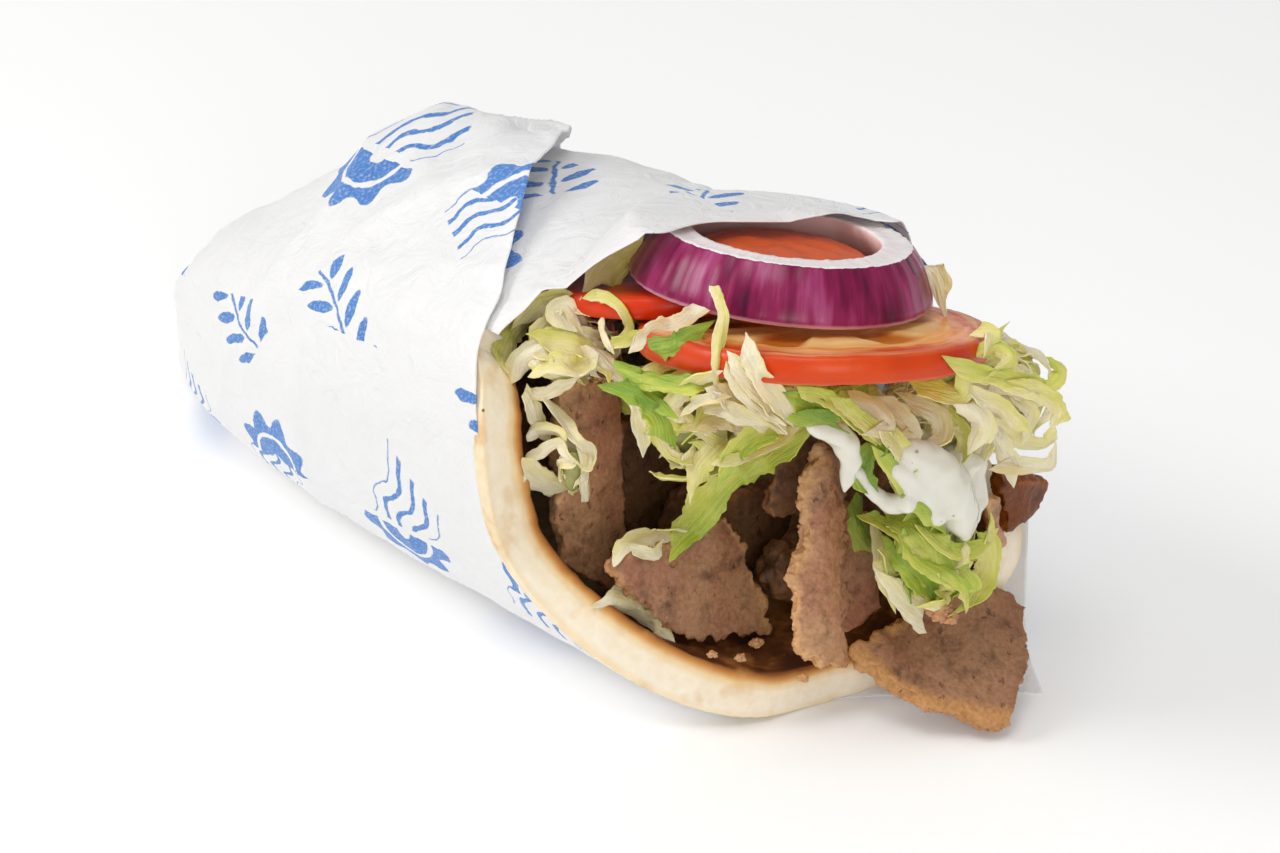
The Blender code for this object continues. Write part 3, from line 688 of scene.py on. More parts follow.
def roast_meat(name, face, rosy, dark, crust, gloss):
    """Spit-roasted minced meat, shaved thin: close brown grain with small pores and a browned edge."""
    look, tree, shader = finish(name, gloss, Specular_IOR_Level=0.36, Subsurface_Weight=0.06,
                                Subsurface_Scale=0.002)
    place = add(tree, "TexCoord").outputs["Object"]
    edge = add(tree, "Attribute", attribute_name="edge").outputs["Fac"]
    # Patches of about 16 mm, clouds of 5 mm and a grain of a millimetre and finer.
    patch = add(tree, "TexNoise", {"Vector": place, "Scale": 60.0, "Detail": 3.0}).outputs["Fac"]
    cloud = add(tree, "TexNoise", {"Vector": place, "Scale": 190.0, "Detail": 5.0,
                                   "Roughness": 0.65}).outputs["Fac"]
    grain = add(tree, "TexNoise", {"Vector": place, "Scale": 1100.0, "Detail": 4.0}).outputs["Fac"]
    patch = add(tree, "MapRange", {0: patch, 1: 0.38, 2: 0.62}).outputs[0]
    base = add(tree, "Mix", {0: patch, 6: face, 7: rosy}, data_type="RGBA").outputs[2]
    shade = add(tree, "MapRange", {0: cloud, 1: 0.5, 2: 0.3, 3: 0.0, 4: 0.7}).outputs[0]
    base = add(tree, "Mix", {0: shade, 6: base, 7: dark}, data_type="RGBA").outputs[2]
    browned = add(tree, "Math", {0: cloud, 1: 1.1, 2: edge}, operation="MULTIPLY_ADD").outputs[0]
    browned = add(tree, "MapRange", {0: browned, 1: 0.66, 2: 1.2}).outputs[0]
    colour = add(tree, "Mix", {0: browned, 6: base, 7: crust}, data_type="RGBA").outputs[2]
    # Pores of up to a millimetre across, longer one way, in over half of the cells.
    swirl = add(tree, "TexNoise", {"Vector": place, "Scale": 420.0, "Detail": 2.0}).outputs["Color"]
    long_way = add(tree, "VectorMath", {0: swirl, 1: (0.004,) * 3, 2: place},
                   operation="MULTIPLY_ADD").outputs[0]
    long_way = add(tree, "Mapping", {"Vector": long_way, "Scale": (1.0, 1.0, 0.42)}).outputs[0]
    pore = add(tree, "TexVoronoi", {"Vector": long_way, "Scale": 520.0}, feature="F1")
    chosen = add(tree, "SeparateXYZ", {0: pore.outputs["Color"]}).outputs[0]
    size = add(tree, "MapRange", {0: chosen, 1: 0.4, 2: 1.0, 3: 0.0, 4: 0.34}).outputs[0]
    pit = add(tree, "Math", {0: size, 1: pore.outputs["Distance"]}, operation="SUBTRACT").outputs[0]
    pit = add(tree, "MapRange", {0: pit, 1: 0.0, 2: 0.12}).outputs[0]
    stain = add(tree, "Math", {0: pit, 1: 0.5}, operation="MULTIPLY").outputs[0]
    colour = add(tree, "Mix", {0: stain, 6: colour, 7: dark}, data_type="RGBA").outputs[2]
    speck = add(tree, "ValToRGB", {"Fac": grain}, stops=((0.35, "d8c6b8"), (0.62, "ffffff"))).outputs[0]
    colour = add(tree, "Mix", {0: 0.6, 6: colour, 7: speck}, data_type="RGBA",
                 blend_type="MULTIPLY").outputs[2]
    tree.links.new(colour, shader.inputs["Base Color"])
    relief = add(tree, "Math", {0: grain, 1: 0.3, 2: cloud}, operation="MULTIPLY_ADD").outputs[0]
    relief = add(tree, "Math", {0: relief, 1: pit}, operation="SUBTRACT").outputs[0]
    bump = add(tree, "Bump", {"Height": relief, "Strength": 0.6, "Distance": 0.0007}).outputs[0]
    tree.links.new(bump, shader.inputs["Normal"])
    return look


def smooth_once(shape):
    """Ease every point halfway toward its neighbours."""
    bmesh.ops.smooth_vert(shape, verts=shape.verts, factor=0.5, use_axis_x=True, use_axis_y=True,
                          use_axis_z=True)


# The share of browning past which a point counts as crust.
BROWNED_RIM = 0.55


def make_slice(node, look, cell, ragged, browned_way, crust_reach):
    """A shaved slice: the CAD slab with torn edges and pores, browned most on one of its sides."""
    shape = refined(cad_shape(node), ("REMESH", {"mode": "VOXEL", "voxel_size": cell}))
    smooth_once(shape)
    smooth_once(shape)
    shape.normal_update()
    points = np.array([vert.co for vert in shape.verts])
    facing = Vector(np.linalg.svd(points - points.mean(0), full_matrices=False)[2][2])
    browned_way = Vector(browned_way)

    def browning(vert):
        """How much of the slice's rim a point is on, and how browned it is there."""
        rim = 1.0 - abs(vert.normal.dot(facing))
        return rim, rim * (0.45 + 0.55 * max(0.0, vert.normal.dot(browned_way)))

    edge = shape.verts.layers.float.new("edge")
    crust = KDTree(len(shape.verts))
    for vert in shape.verts:
        if browning(vert)[1] > BROWNED_RIM:
            crust.insert(vert.co, vert.index)
    crust.balance()
    moves = []
    for vert in shape.verts:
        rim, rim_browned = browning(vert)
        outward = vert.normal - facing * vert.normal.dot(facing)
        torn = noise.noise(vert.co / 8.0) * 1.9 + noise.fractal(vert.co / 3.2, 0.8, 2.0, 3) * 1.3
        torn += 0.8 * max(0.0, noise.noise(vert.co / 2.3)) ** 1.5
        torn += 0.45 * max(0.0, noise.noise(vert.co / 0.9))
        face = 0.5 * noise.noise(vert.co / 7.0) + 0.14 * noise.noise(vert.co / 1.4)
        distance, cells = noise.voronoi(Vector((vert.co.x, vert.co.y, 0.55 * vert.co.z)) / 2.2)
        if noise.cell(cells[0] * 7.3) > 0.6:
            face -= 0.6 * max(0.0, 1.0 - distance[0] / (0.3 + 0.15 * noise.noise(vert.co)))
        move = outward * torn * ragged + vert.normal * face * (1.0 - 0.5 * rim)
        crust_near = crust.find(vert.co)[2]
        near = max(0.0, 1.0 - crust_near / crust_reach) if crust_near is not None else 0.0
        moves.append((vert, move, max(rim_browned, 0.9 * near)))
    for vert, move, browned in moves:
        vert.co += move
        vert[edge] = browned
    keep(shape, "roast_" + node, look, "meat", node)


def make_packed(node, look, cell, depth):
    """A heap of slices seen end on: the CAD heap cut by uneven clefts."""
    shape = refined(cad_shape(node), ("REMESH", {"mode": "VOXEL", "voxel_size": cell}))
    edge = shape.verts.layers.float.new("edge")
    for vert in shape.verts:
        near = noise.voronoi(vert.co / 8.0)[0]
        cleft = max(0.0, 1.0 - (near[1] - near[0]) * 3.2)
        rough = noise.fractal(vert.co / 3.0, 0.9, 2.0, 3)
        vert.co += vert.normal * (-depth * cleft + 0.6 * rough)
        vert[edge] = 0.2 + 0.4 * max(0.0, rough)
    keep(shape, "packed_" + node, look, "meat", node)


# Crumbs and torn flaps of meat: place and size in mm.
CRUMBS = (
    ((79.5, 12.5, 29.5), 2.1), ((80.5, 14.5, 27.5), 1.6), ((63, -10, 13.8), 0.9), ((48, -22, 17.2), 0.8),
    ((50, -16, 14.8), 0.9), ((47, -9, 14.0), 1.1), ((52, 0, 13.0), 1.2), ((13, -24, 69), 1.1),
    ((11.5, -28, 70.2), 1.0), ((12.5, -20, 66.8), 1.2),
)


def make_crumbs(look):
    """Small uneven crumbs of meat that fell on the bread and the slices."""
    shape = bmesh.new()
    edge = shape.verts.layers.float.new("edge")
    for number, (place, size) in enumerate(CRUMBS):
        made = bmesh.ops.create_icosphere(shape, subdivisions=4, radius=1.0)["verts"]
        for vert in made:
            way = vert.co.normalized()
            grown = 1.0 + 0.45 * noise.fractal(way * 1.7 + Vector((number * 3.1, 0, 0)), 0.8, 2.0, 4)
            squat = Vector((way.x * 1.2, way.y * 1.3, way.z * 0.75))
            vert.co = Vector(place) + squat * size * grown
            vert[edge] = 0.45
    keep(shape, "meat_crumbs", look, "meat")


def make_meat():
    """The slices, each in the brown of its place, and the packed meat behind them in a darker copy of the
    meat, which is painted shade.
    """
    shaved = roast_meat("roast_meat", "c4966e", "bc8262", "5c3820", "dcab78", 0.42)
    # A darker copy of the meat for the slices and heaps inside the wrap, standing for their shade: painted
    # shade.
    shade = roast_meat("roast_meat_shaded", "88623f", "7d573c", "3a210f", "a06d3d", 0.5)
    front = roast_meat("roast_meat_front", "b1855f", "a67256", "4e2f1a", "cf9e6c", 0.4)
    pulled = roast_meat("roast_meat_flat", "ab7f5e", "96664a", "4a2c18", "c8935a", 0.36)
    glazed = roast_meat("roast_meat_glazed", "7c4006", "6e3204", "381802", "965016", 0.3)
    make_slice("meat_slice_near", shaved, 0.6, 0.6, (0.0, 0.0, 1.0), 2.6)
    make_slice("meat_slice_front", front, 0.5, 1.3, (0.2, 0.9, 0.4), 1.6)
    make_slice("meat_slice_tall", shaved, 0.45, 1.6, (0.0, -0.9, 0.3), 2.2)
    make_slice("meat_slice_side", shaved, 0.55, 0.8, (0.0, 0.7, 0.7), 1.2)
    make_slice("meat_slice_flat", pulled, 0.45, 0.9, (-0.3, -1.0, -0.2), 3.6)
    make_slice("meat_slice_far", glazed, 0.5, 0.9, (0.5, 0.5, 0.7), 2.0)
    make_slice("meat_chip_far", shaved, 0.4, 0.7, (0.0, -0.5, 0.8), 1.0)
    for node in ("meat_slice_back", "meat_slice_inner", "meat_slice_shadow"):
        make_slice(node, shade, 0.6, 1.0, (0.0, 0.0, 1.0), 2.0)
    for node in ("meat_heap_inner", "meat_heap_low", "meat_heap_far"):
        make_packed(node, shade, 0.8, 1.4)
    make_packed("meat_filling", shade, 1.6, 1.4)
    make_crumbs(shaved)


# ---------------------------------------------------------------- tomato and onion

def ripe_tomato(name, skin, blushed, flesh, pale):
    """Slice of ripe tomato: wet glossy skin round a firm wall of flesh, paler toward the middle."""
    look, tree, shader = finish(name, 0.34, Specular_IOR_Level=0.35, Subsurface_Weight=0.05,
                                Subsurface_Scale=0.003)
    shader.inputs["Subsurface Radius"].default_value = (1.0, 0.3, 0.15)
    cut = add(tree, "UVMap", uv_map="cut").outputs[0]
    outer = add(tree, "Attribute", attribute_name="skin").outputs["Fac"]
    chamber = add(tree, "Attribute", attribute_name="chamber").outputs["Fac"]
    x, y, _ = add(tree, "SeparateXYZ", {0: cut}).outputs
    reach = add(tree, "VectorMath", {0: cut}, operation="LENGTH").outputs["Value"]
    around = add(tree, "Math", {0: y, 1: x}, operation="ARCTAN2").outputs[0]
    # Streaks run round the wall, one or two millimetres apart.
    streak = add(tree, "CombineXYZ", {0: around, 1: reach}).outputs[0]
    streak = add(tree, "Mapping", {"Vector": streak, "Scale": (1.6, 17.0, 1.0)}).outputs[0]
    streak = add(tree, "TexNoise", {"Vector": streak, "Scale": 1.0, "Detail": 4.0}).outputs["Fac"]
    ripple = add(tree, "TexNoise", {"Vector": cut, "Scale": 5.0, "Detail": 3.0}).outputs["Fac"]
    wall = add(tree, "Math", {0: ripple, 1: 0.16, 2: reach}, operation="MULTIPLY_ADD").outputs[0]
    body = add(tree, "ValToRGB", {"Fac": wall}, stops=(
        (0.1, pale), (0.4, flesh), (0.66, pale), (0.84, flesh), (0.96, blushed), (1.03, skin))).outputs[0]
    streak = add(tree, "MapRange", {0: streak, 1: 0.4, 2: 0.66, 4: 0.6}).outputs[0]
    body = add(tree, "Mix", {0: streak, 6: body, 7: pale}, data_type="RGBA").outputs[2]
    body = add(tree, "Mix", {0: chamber, 6: body, 7: "d07526"}, data_type="RGBA").outputs[2]
    place = add(tree, "TexCoord").outputs["Object"]
    blush = add(tree, "TexNoise", {"Vector": place, "Scale": 60.0, "Detail": 3.0}).outputs["Fac"]
    blush = add(tree, "MapRange", {0: blush, 1: 0.35, 2: 0.65}).outputs[0]
    rind = add(tree, "Mix", {0: blush, 6: skin, 7: blushed}, data_type="RGBA").outputs[2]
    colour = add(tree, "Mix", {0: outer, 6: body, 7: rind}, data_type="RGBA").outputs[2]
    tree.links.new(colour, shader.inputs["Base Color"])
    wet = add(tree, "TexNoise", {"Vector": place, "Scale": 260.0, "Detail": 4.0}).outputs["Fac"]
    bump = add(tree, "Bump", {"Height": wet, "Strength": 0.25, "Distance": 0.0008}).outputs[0]
    tree.links.new(bump, shader.inputs["Normal"])
    return look


# A slice's cut edge: how round it is in mm, in how many steps, and where its flat faces have rings of
# points, as shares of its radius.
SLICE_ROUNDING = 1.7
ROUNDING_STEPS = 6
FACE_RINGS = (0.15, 0.3, 0.45, 0.6, 0.72, 0.82, 0.9)
# Where a slice bows up inside the onion ring: radius, height of its middle and rise in mm.
BOW_RADIUS = 18.0
BOW_FOOT = 5.6
BOW_RISE = 3.8


def make_tomato(node, disc, look, bows_up):
    """A slice of tomato, spun from its cut edge, with an uneven outline and sunken chambers."""
    radius, height = disc[3], disc[4]
    profile = [(0.0, 0.0)]
    profile += [(radius * share, 0.0) for share in FACE_RINGS]
    straight = height / 2.0 - SLICE_ROUNDING
    for step in range(ROUNDING_STEPS + 1):
        turn = math.radians(-90.0 + 30.0 * step)
        high = height / 2.0 + straight * (1 if step > 3 else -1 if step < 3 else 0)
        out = radius - SLICE_ROUNDING + SLICE_ROUNDING * math.cos(turn)
        profile.append((out, high + SLICE_ROUNDING * math.sin(turn)))
    profile += [(radius * share, height) for share in reversed(FACE_RINGS)]
    profile.append((0.0, height))
    shape = bmesh.new()
    verts = [shape.verts.new((across, 0.0, up)) for across, up in profile]
    edges = [shape.edges.new(pair) for pair in zip(verts, verts[1:])]
    bmesh.ops.spin(shape, geom=verts + edges, cent=(0, 0, 0), axis=(0, 0, 1), angle=2.0 * math.pi,
                   steps=140, use_merge=True)
    bmesh.ops.remove_doubles(shape, verts=shape.verts, dist=SAME_POINT)
    bmesh.ops.recalc_face_normals(shape, faces=shape.faces)
    skin = shape.verts.layers.float.new("skin")
    sunken = shape.verts.layers.float.new("chamber")
    cut = shape.loops.layers.uv.new("cut")
    for face in shape.faces:
        for loop in face.loops:
            loop[cut].uv = (loop.vert.co.x / radius, loop.vert.co.y / radius)
    for vert in shape.verts:
        reach = math.hypot(vert.co.x, vert.co.y) / radius
        turn = math.atan2(vert.co.y, vert.co.x)
        vert[skin] = 1.0 if bows_up else blend(0.96, 0.985, reach)
        chamber = blend(0.26, 0.38, reach) * (1.0 - blend(0.6, 0.72, reach))
        chamber *= blend(-0.1, 0.6, math.cos(5.0 * turn + 0.5))
        vert[sunken] = chamber
        side = 1.0 if vert.co.z > height / 2.0 else -1.0
        dip = 0.9 * chamber + 0.35 * noise.noise(vert.co / 5.0) + 0.15 * noise.noise(vert.co / 1.8)
        vert.co.z -= side * dip * (1.0 - vert[skin])
        lobed = 1.0 + 0.012 * math.cos(3.0 * turn + 0.6) + 0.008 * math.cos(5.0 * turn)
        vert.co.x *= lobed
        vert.co.y *= lobed
    bmesh.ops.transform(shape, matrix=disc_frame(disc), verts=shape.verts)
    if bows_up:
        bow = bmesh.ops.create_uvsphere(shape, u_segments=64, v_segments=32, radius=1.0)["verts"]
        for vert in bow:
            flat = math.copysign(abs(vert.co.z) ** 0.5, vert.co.z)
            vert.co = Vector((vert.co.x * BOW_RADIUS, vert.co.y * BOW_RADIUS, BOW_FOOT + BOW_RISE * flat))
            vert.co.z += 0.5 * noise.noise(vert.co / 4.0)
            vert[sunken] = 0.5
            vert[skin] = 0.7
        bmesh.ops.transform(shape, matrix=disc_frame(ONION), verts=bow)
    keep(shape, "sliced_" + node, look, "tomato", node)


def make_tomatoes():
    """The front slice in the light, and the back one, which bows up deep inside the onion ring."""
    ripe = ripe_tomato("ripe_tomato", "cb3300", "db4800", "f2953a", "fdd38a")
    inside = ripe_tomato("ripe_tomato_back", "c82600", "d83a04", "d04a18", "e09450")
    make_tomato("tomato_front", TOMATO_FRONT, ripe, False)
    make_tomato("tomato_back", TOMATO_BACK, inside, True)


def red_onion():
    """Red onion cut across: satin purple skin with fine veins over crisp white flesh."""
    look, tree, shader = finish("red_onion", 0.3, Specular_IOR_Level=0.35, Subsurface_Weight=0.25,
                                Subsurface_Scale=0.003)
    shader.inputs["Subsurface Radius"].default_value = (1.0, 0.5, 0.6)
    wall = add(tree, "UVMap", uv_map="wall").outputs[0]
    zone = add(tree, "Attribute", attribute_name="zone").outputs["Fac"]
    foot = add(tree, "Attribute", attribute_name="climb").outputs["Fac"]
    # Veins run up the skin about a millimetre apart, in bands of about 8 mm.
    veins = add(tree, "Mapping", {"Vector": wall, "Scale": (170.0, 1.2, 1.0)}).outputs[0]
    veins = add(tree, "TexNoise", {"Vector": veins, "Scale": 1.0, "Detail": 3.0,
                                   "Roughness": 0.6}).outputs["Fac"]
    bands = add(tree, "Mapping", {"Vector": wall, "Scale": (24.0, 0.7, 1.0)}).outputs[0]
    bands = add(tree, "TexNoise", {"Vector": bands, "Scale": 1.0, "Detail": 2.0}).outputs["Fac"]
    streak = add(tree, "Math", {0: veins, 1: 0.28}, operation="MULTIPLY").outputs[0]
    streak = add(tree, "Math", {0: bands, 1: 0.78, 2: streak}, operation="MULTIPLY_ADD").outputs[0]
    skin = add(tree, "ValToRGB", {"Fac": streak}, stops=(
        (0.36, "4c0030"), (0.46, "780540"), (0.56, "921c56"), (0.68, "a94a7c"))).outputs[0]
    low = add(tree, "MapRange", {0: foot, 1: 0.09, 2: 0.03}).outputs[0]
    skin = add(tree, "Mix", {0: low, 6: skin, 7: "cf9db4"}, data_type="RGBA").outputs[2]
    # The zone runs 0 inner wall, 1 cut face, 2 skin, with a torn edge between them.
    torn = add(tree, "Math", {0: veins, 1: 0.5, 2: -0.25}, operation="MULTIPLY_ADD").outputs[0]
    zone = add(tree, "Math", {0: zone, 1: torn}, operation="ADD").outputs[0]
    rings = add(tree, "Math", {0: zone, 1: 24.0}, operation="MULTIPLY").outputs[0]
    rings = add(tree, "Math", {0: rings}, operation="SINE").outputs[0]
    rings = add(tree, "MapRange", {0: rings, 1: -1.0, 2: 1.0}).outputs[0]
    white = add(tree, "Mix", {0: rings, 6: "f0e6e5", 7: "fbf6f4"}, data_type="RGBA").outputs[2]
    inner = add(tree, "Mix", {0: bands, 6: "ecc0bc", 7: "f8e2dc"}, data_type="RGBA").outputs[2]
    to_cut = add(tree, "MapRange", {0: zone, 1: 0.4, 2: 0.6}).outputs[0]
    colour = add(tree, "Mix", {0: to_cut, 6: inner, 7: white}, data_type="RGBA").outputs[2]
    to_skin = add(tree, "MapRange", {0: zone, 1: 1.46, 2: 1.54}).outputs[0]
    colour = add(tree, "Mix", {0: to_skin, 6: colour, 7: skin}, data_type="RGBA").outputs[2]
    tree.links.new(colour, shader.inputs["Base Color"])
    bump = add(tree, "Bump", {"Height": streak, "Strength": 0.3, "Distance": 0.0006}).outputs[0]
    tree.links.new(bump, shader.inputs["Normal"])
    return look


# Section of the onion ring: distance from its middle and height in mm, and its zone, which runs
# 0 inner wall, 1 cut face, 2 skin.
ONION_SECTION = (
    (25.0, 0.6, 0), (25.6, 0.15, 1), (27.0, 0.0, 1), (29.5, 0.0, 1), (31.0, 0.0, 1.4),
    (31.5, 0.3, 1.8), (31.6, 0.8, 2), (31.3, 2.4, 2), (30.6, 4.0, 2), (29.7, 6.2, 2),
    (28.6, 8.4, 2), (27.5, 9.9, 2), (26.6, 11.0, 2), (26.3, 11.35, 1.6), (26.0, 11.5, 1.1),
    (24.5, 11.35, 1), (23.0, 11.2, 1), (21.5, 11.4, 1), (20.3, 11.5, 1), (19.9, 11.3, 0.6),
    (19.6, 10.8, 0), (20.4, 8.6, 0), (22.0, 6.0, 0), (23.3, 4.0, 0), (24.4, 2.0, 0),
)


def make_onion():
    """One thick ring of red onion, spun from its section: wider at its foot, cut on both faces."""
    shape = bmesh.new()
    zone = shape.verts.layers.float.new("zone")
    climb = shape.verts.layers.float.new("climb")
    verts = []
    for across, up, part in ONION_SECTION:
        vert = shape.verts.new((across, 0.0, up))
        vert[zone] = part
        vert[climb] = up / ONION[4]
        verts.append(vert)
    edges = [shape.edges.new((verts[i], verts[(i + 1) % len(verts)])) for i in range(len(verts))]
    bmesh.ops.spin(shape, geom=verts + edges, cent=(0, 0, 0), axis=(0, 0, 1), angle=2.0 * math.pi,
                   steps=220, use_merge=True)
    bmesh.ops.remove_doubles(shape, verts=shape.verts, dist=SAME_POINT)
    bmesh.ops.recalc_face_normals(shape, faces=shape.faces)
    wall = shape.loops.layers.uv.new("wall")
    for face in shape.faces:
        turns = [math.atan2(loop.vert.co.y, loop.vert.co.x) / (2.0 * math.pi) for loop in face.loops]
        wraps = max(turns) - min(turns) > 0.5
        for loop, turn in zip(face.loops, turns):
            loop[wall].uv = (turn + 1.0 if wraps and turn < 0.0 else turn, loop.vert[climb])
    for vert in shape.verts:
        turn = math.atan2(vert.co.y, vert.co.x)
        out = Vector((math.cos(turn), math.sin(turn), 0.0))
        ribs = 0.1 * math.sin(turn * 46.0 + 2.0 * math.sin(turn * 5.0)) * (1.0 if vert[zone] > 1.5 else 0.3)
        vert.co += out * (ribs + 0.5 * noise.noise(out * 2.3))
        if vert[zone] > 0.9 and vert.co.z > 9.0:
            vert.co.z += 0.3 * noise.noise(vert.co / 1.4)
    bmesh.ops.transform(shape, matrix=disc_frame(ONION), verts=shape.verts)
    keep(shape, "red_onion_ring", red_onion(), "onion", "onion_ring")


# ---------------------------------------------------------------- lettuce

def shredded_lettuce(name, stops):
    """Iceberg lettuce cut in shreds: thin wet leaf, cream at the rib and green at its outer edge."""
    look, tree, shader = finish(name, 0.3, Subsurface_Weight=0.3, Subsurface_Scale=0.003)
    shader.inputs["Subsurface Radius"].default_value = (0.9, 1.0, 0.4)
    tone = add(tree, "Attribute", attribute_name="tone").outputs["Fac"]
    leaf = add(tree, "Attribute", attribute_name="leaf").outputs["Vector"]
    place = add(tree, "TexCoord").outputs["Object"]
    # Clouds of about 5 mm, and veins under a millimetre apart that run slantwise along each shred.
    cloud = add(tree, "TexNoise", {"Vector": place, "Scale": 190.0, "Detail": 4.0}).outputs["Fac"]
    veins = add(tree, "Mapping", {"Vector": leaf, "Rotation": (0.0, 0.0, 0.35),
                                  "Scale": (0.2, 1.5, 1.0)}).outputs[0]
    veins = add(tree, "TexNoise", {"Vector": veins, "Scale": 1.0, "Detail": 4.0,
                                   "Roughness": 0.6}).outputs["Fac"]
    level = add(tree, "Math", {0: cloud, 1: 0.35, 2: tone}, operation="MULTIPLY_ADD").outputs[0]
    level = add(tree, "Math", {0: veins, 1: 0.5, 2: level}, operation="MULTIPLY_ADD").outputs[0]
    level = add(tree, "MapRange", {0: level, 1: 0.2, 2: 1.45}).outputs[0]
    colour = add(tree, "ValToRGB", {"Fac": level}, stops=stops).outputs[0]
    tree.links.new(colour, shader.inputs["Base Color"])
    relief = add(tree, "Math", {0: veins, 1: 1.4, 2: cloud}, operation="MULTIPLY_ADD").outputs[0]
    bump = add(tree, "Bump", {"Height": relief, "Strength": 0.55, "Distance": 0.001}).outputs[0]
    tree.links.new(bump, shader.inputs["Normal"])
    return look


def path_point(points, share):
    """Point and direction at a share of a smooth line through the given points."""
    count = len(points) - 1
    step = min(int(max(share, 0.0) * count), count - 1)
    t = share * count - step
    start, end = points[step], points[step + 1]
    before = points[step - 1] if step > 0 else 2.0 * start - end
    after = points[step + 2] if step + 2 <= count else 2.0 * end - start
    first = (end - before) / 2.0
    second = before - 2.5 * start + 2.0 * end - 0.5 * after
    third = (3.0 * start - before - 3.0 * end + after) / 2.0
    place = start + first * t + second * t * t + third * t ** 3
    way = first + 2.0 * second * t + 3.0 * third * t * t
    return place, way.normalized()


# Thickness of a leaf in mm, the angle in radians past which its edge is crisp, the length in mm of a
# cell along it, and its cells across.
LEAF_WALL = 0.32
SHARP_RIM = 0.9
SHRED_CELL = 0.8
SHRED_CELLS_ACROSS = 7


def add_shred(shape, layers, points, width, tone, seed, facing, twist, frill):
    """Lay one torn strip of leaf along a path, its flat side turned to facing and twisted on its way."""
    tone_layer, leaf_layer = layers
    length = sum((b - a).length for a, b in zip(points, points[1:]))
    cells = max(10, min(46, round(length / SHRED_CELL)))
    grid = bmesh.ops.create_grid(shape, x_segments=cells, y_segments=SHRED_CELLS_ACROSS, size=1.0)["verts"]
    phase = seed * 1.7
    fold = 0.9 * math.sin(phase * 3.0)
    slant = 0.7 * math.sin(phase * 5.0)
    tip = 0.45 + 0.4 * math.sin(phase * 7.0)
    for vert in grid:
        u, v = (vert.co.x + 1.0) / 2.0, vert.co.y
        run = u * length
        cut = slant * v * width / length * (2.0 * u - 1.0) ** 3
        place, way = path_point(points, u + cut)
        up = facing - way * way.dot(facing)
        up = up.normalized() if up.length > 0.05 else way.orthogonal().normalized()
        up = Quaternion(way, twist * (u - 0.4) + 0.5 * math.sin(run / 6.0 + phase)) @ up
        across = up.cross(way)
        ends = min(1.0, 0.8 - 0.3 * tip + 4.0 * u, tip + 3.0 * (1.0 - u))
        side = 9.0 if v > 0.0 else 0.0
        torn = noise.fractal(Vector((run / 2.2, seed, side)), 0.8, 2.0, 3) * abs(v) ** 2
        swell = noise.noise(Vector((run / 8.0, seed, 4.0)))
        half = width / 2.0 * ends * (1.0 + 0.3 * swell + 0.26 * torn)
        ruffle = math.sin(run / 1.5 + phase) + 0.7 * math.sin(run / 0.8 + 2.0 * phase)
        crumple = noise.noise(Vector((run / 2.6, v * half / 1.6, seed)))
        hinge = fold * math.cos(run / 7.0 + phase)
        lift = hinge * half * (abs(v) - 0.5) + frill * ruffle * max(0.0, v) ** 2
        lift += 0.32 * crumple * min(half, 2.0)
        vert.co = place + across * v * half + up * lift
        vert[tone_layer] = tone + 0.14 * v + 0.14 * (u - 0.5) * math.cos(phase)
        vert[leaf_layer] = Vector((run, v * half, seed * 5.3))


def thickened(shape):
    """The leaf with its thickness, and crisp edges."""
    shape = refined(shape, ("SOLIDIFY", {"thickness": LEAF_WALL, "offset": 0.0}))
    for edge in shape.edges:
        edge.smooth = edge.calc_face_angle(0.0) < SHARP_RIM
    return shape


# Heaps: CAD node, number of shreds, length and width range in mm, tone range from cream to green
# and seed.
HEAPS = (
    ("lettuce_left", 20, (16, 34), (2.0, 4.6), (0.0, 0.35), 11),
    ("lettuce_bed", 50, (22, 46), (2.6, 6.0), (0.1, 0.5), 12),
    ("lettuce_left_low", 6, (12, 24), (1.8, 3.2), (0.0, 0.3), 13),
    ("lettuce_middle", 34, (18, 36), (2.2, 5.0), (0.05, 0.6), 14),
    ("lettuce_under", 26, (18, 34), (2.6, 5.6), (0.2, 0.75), 15),
    ("lettuce_right", 84, (16, 40), (2.2, 5.0), (-0.1, 0.5), 16),
    ("lettuce_front", 34, (14, 28), (2.8, 6.0), (0.3, 0.9), 17),
)
# Size of a heap's core as a share of the heap.
CORE_SHARE = 0.72
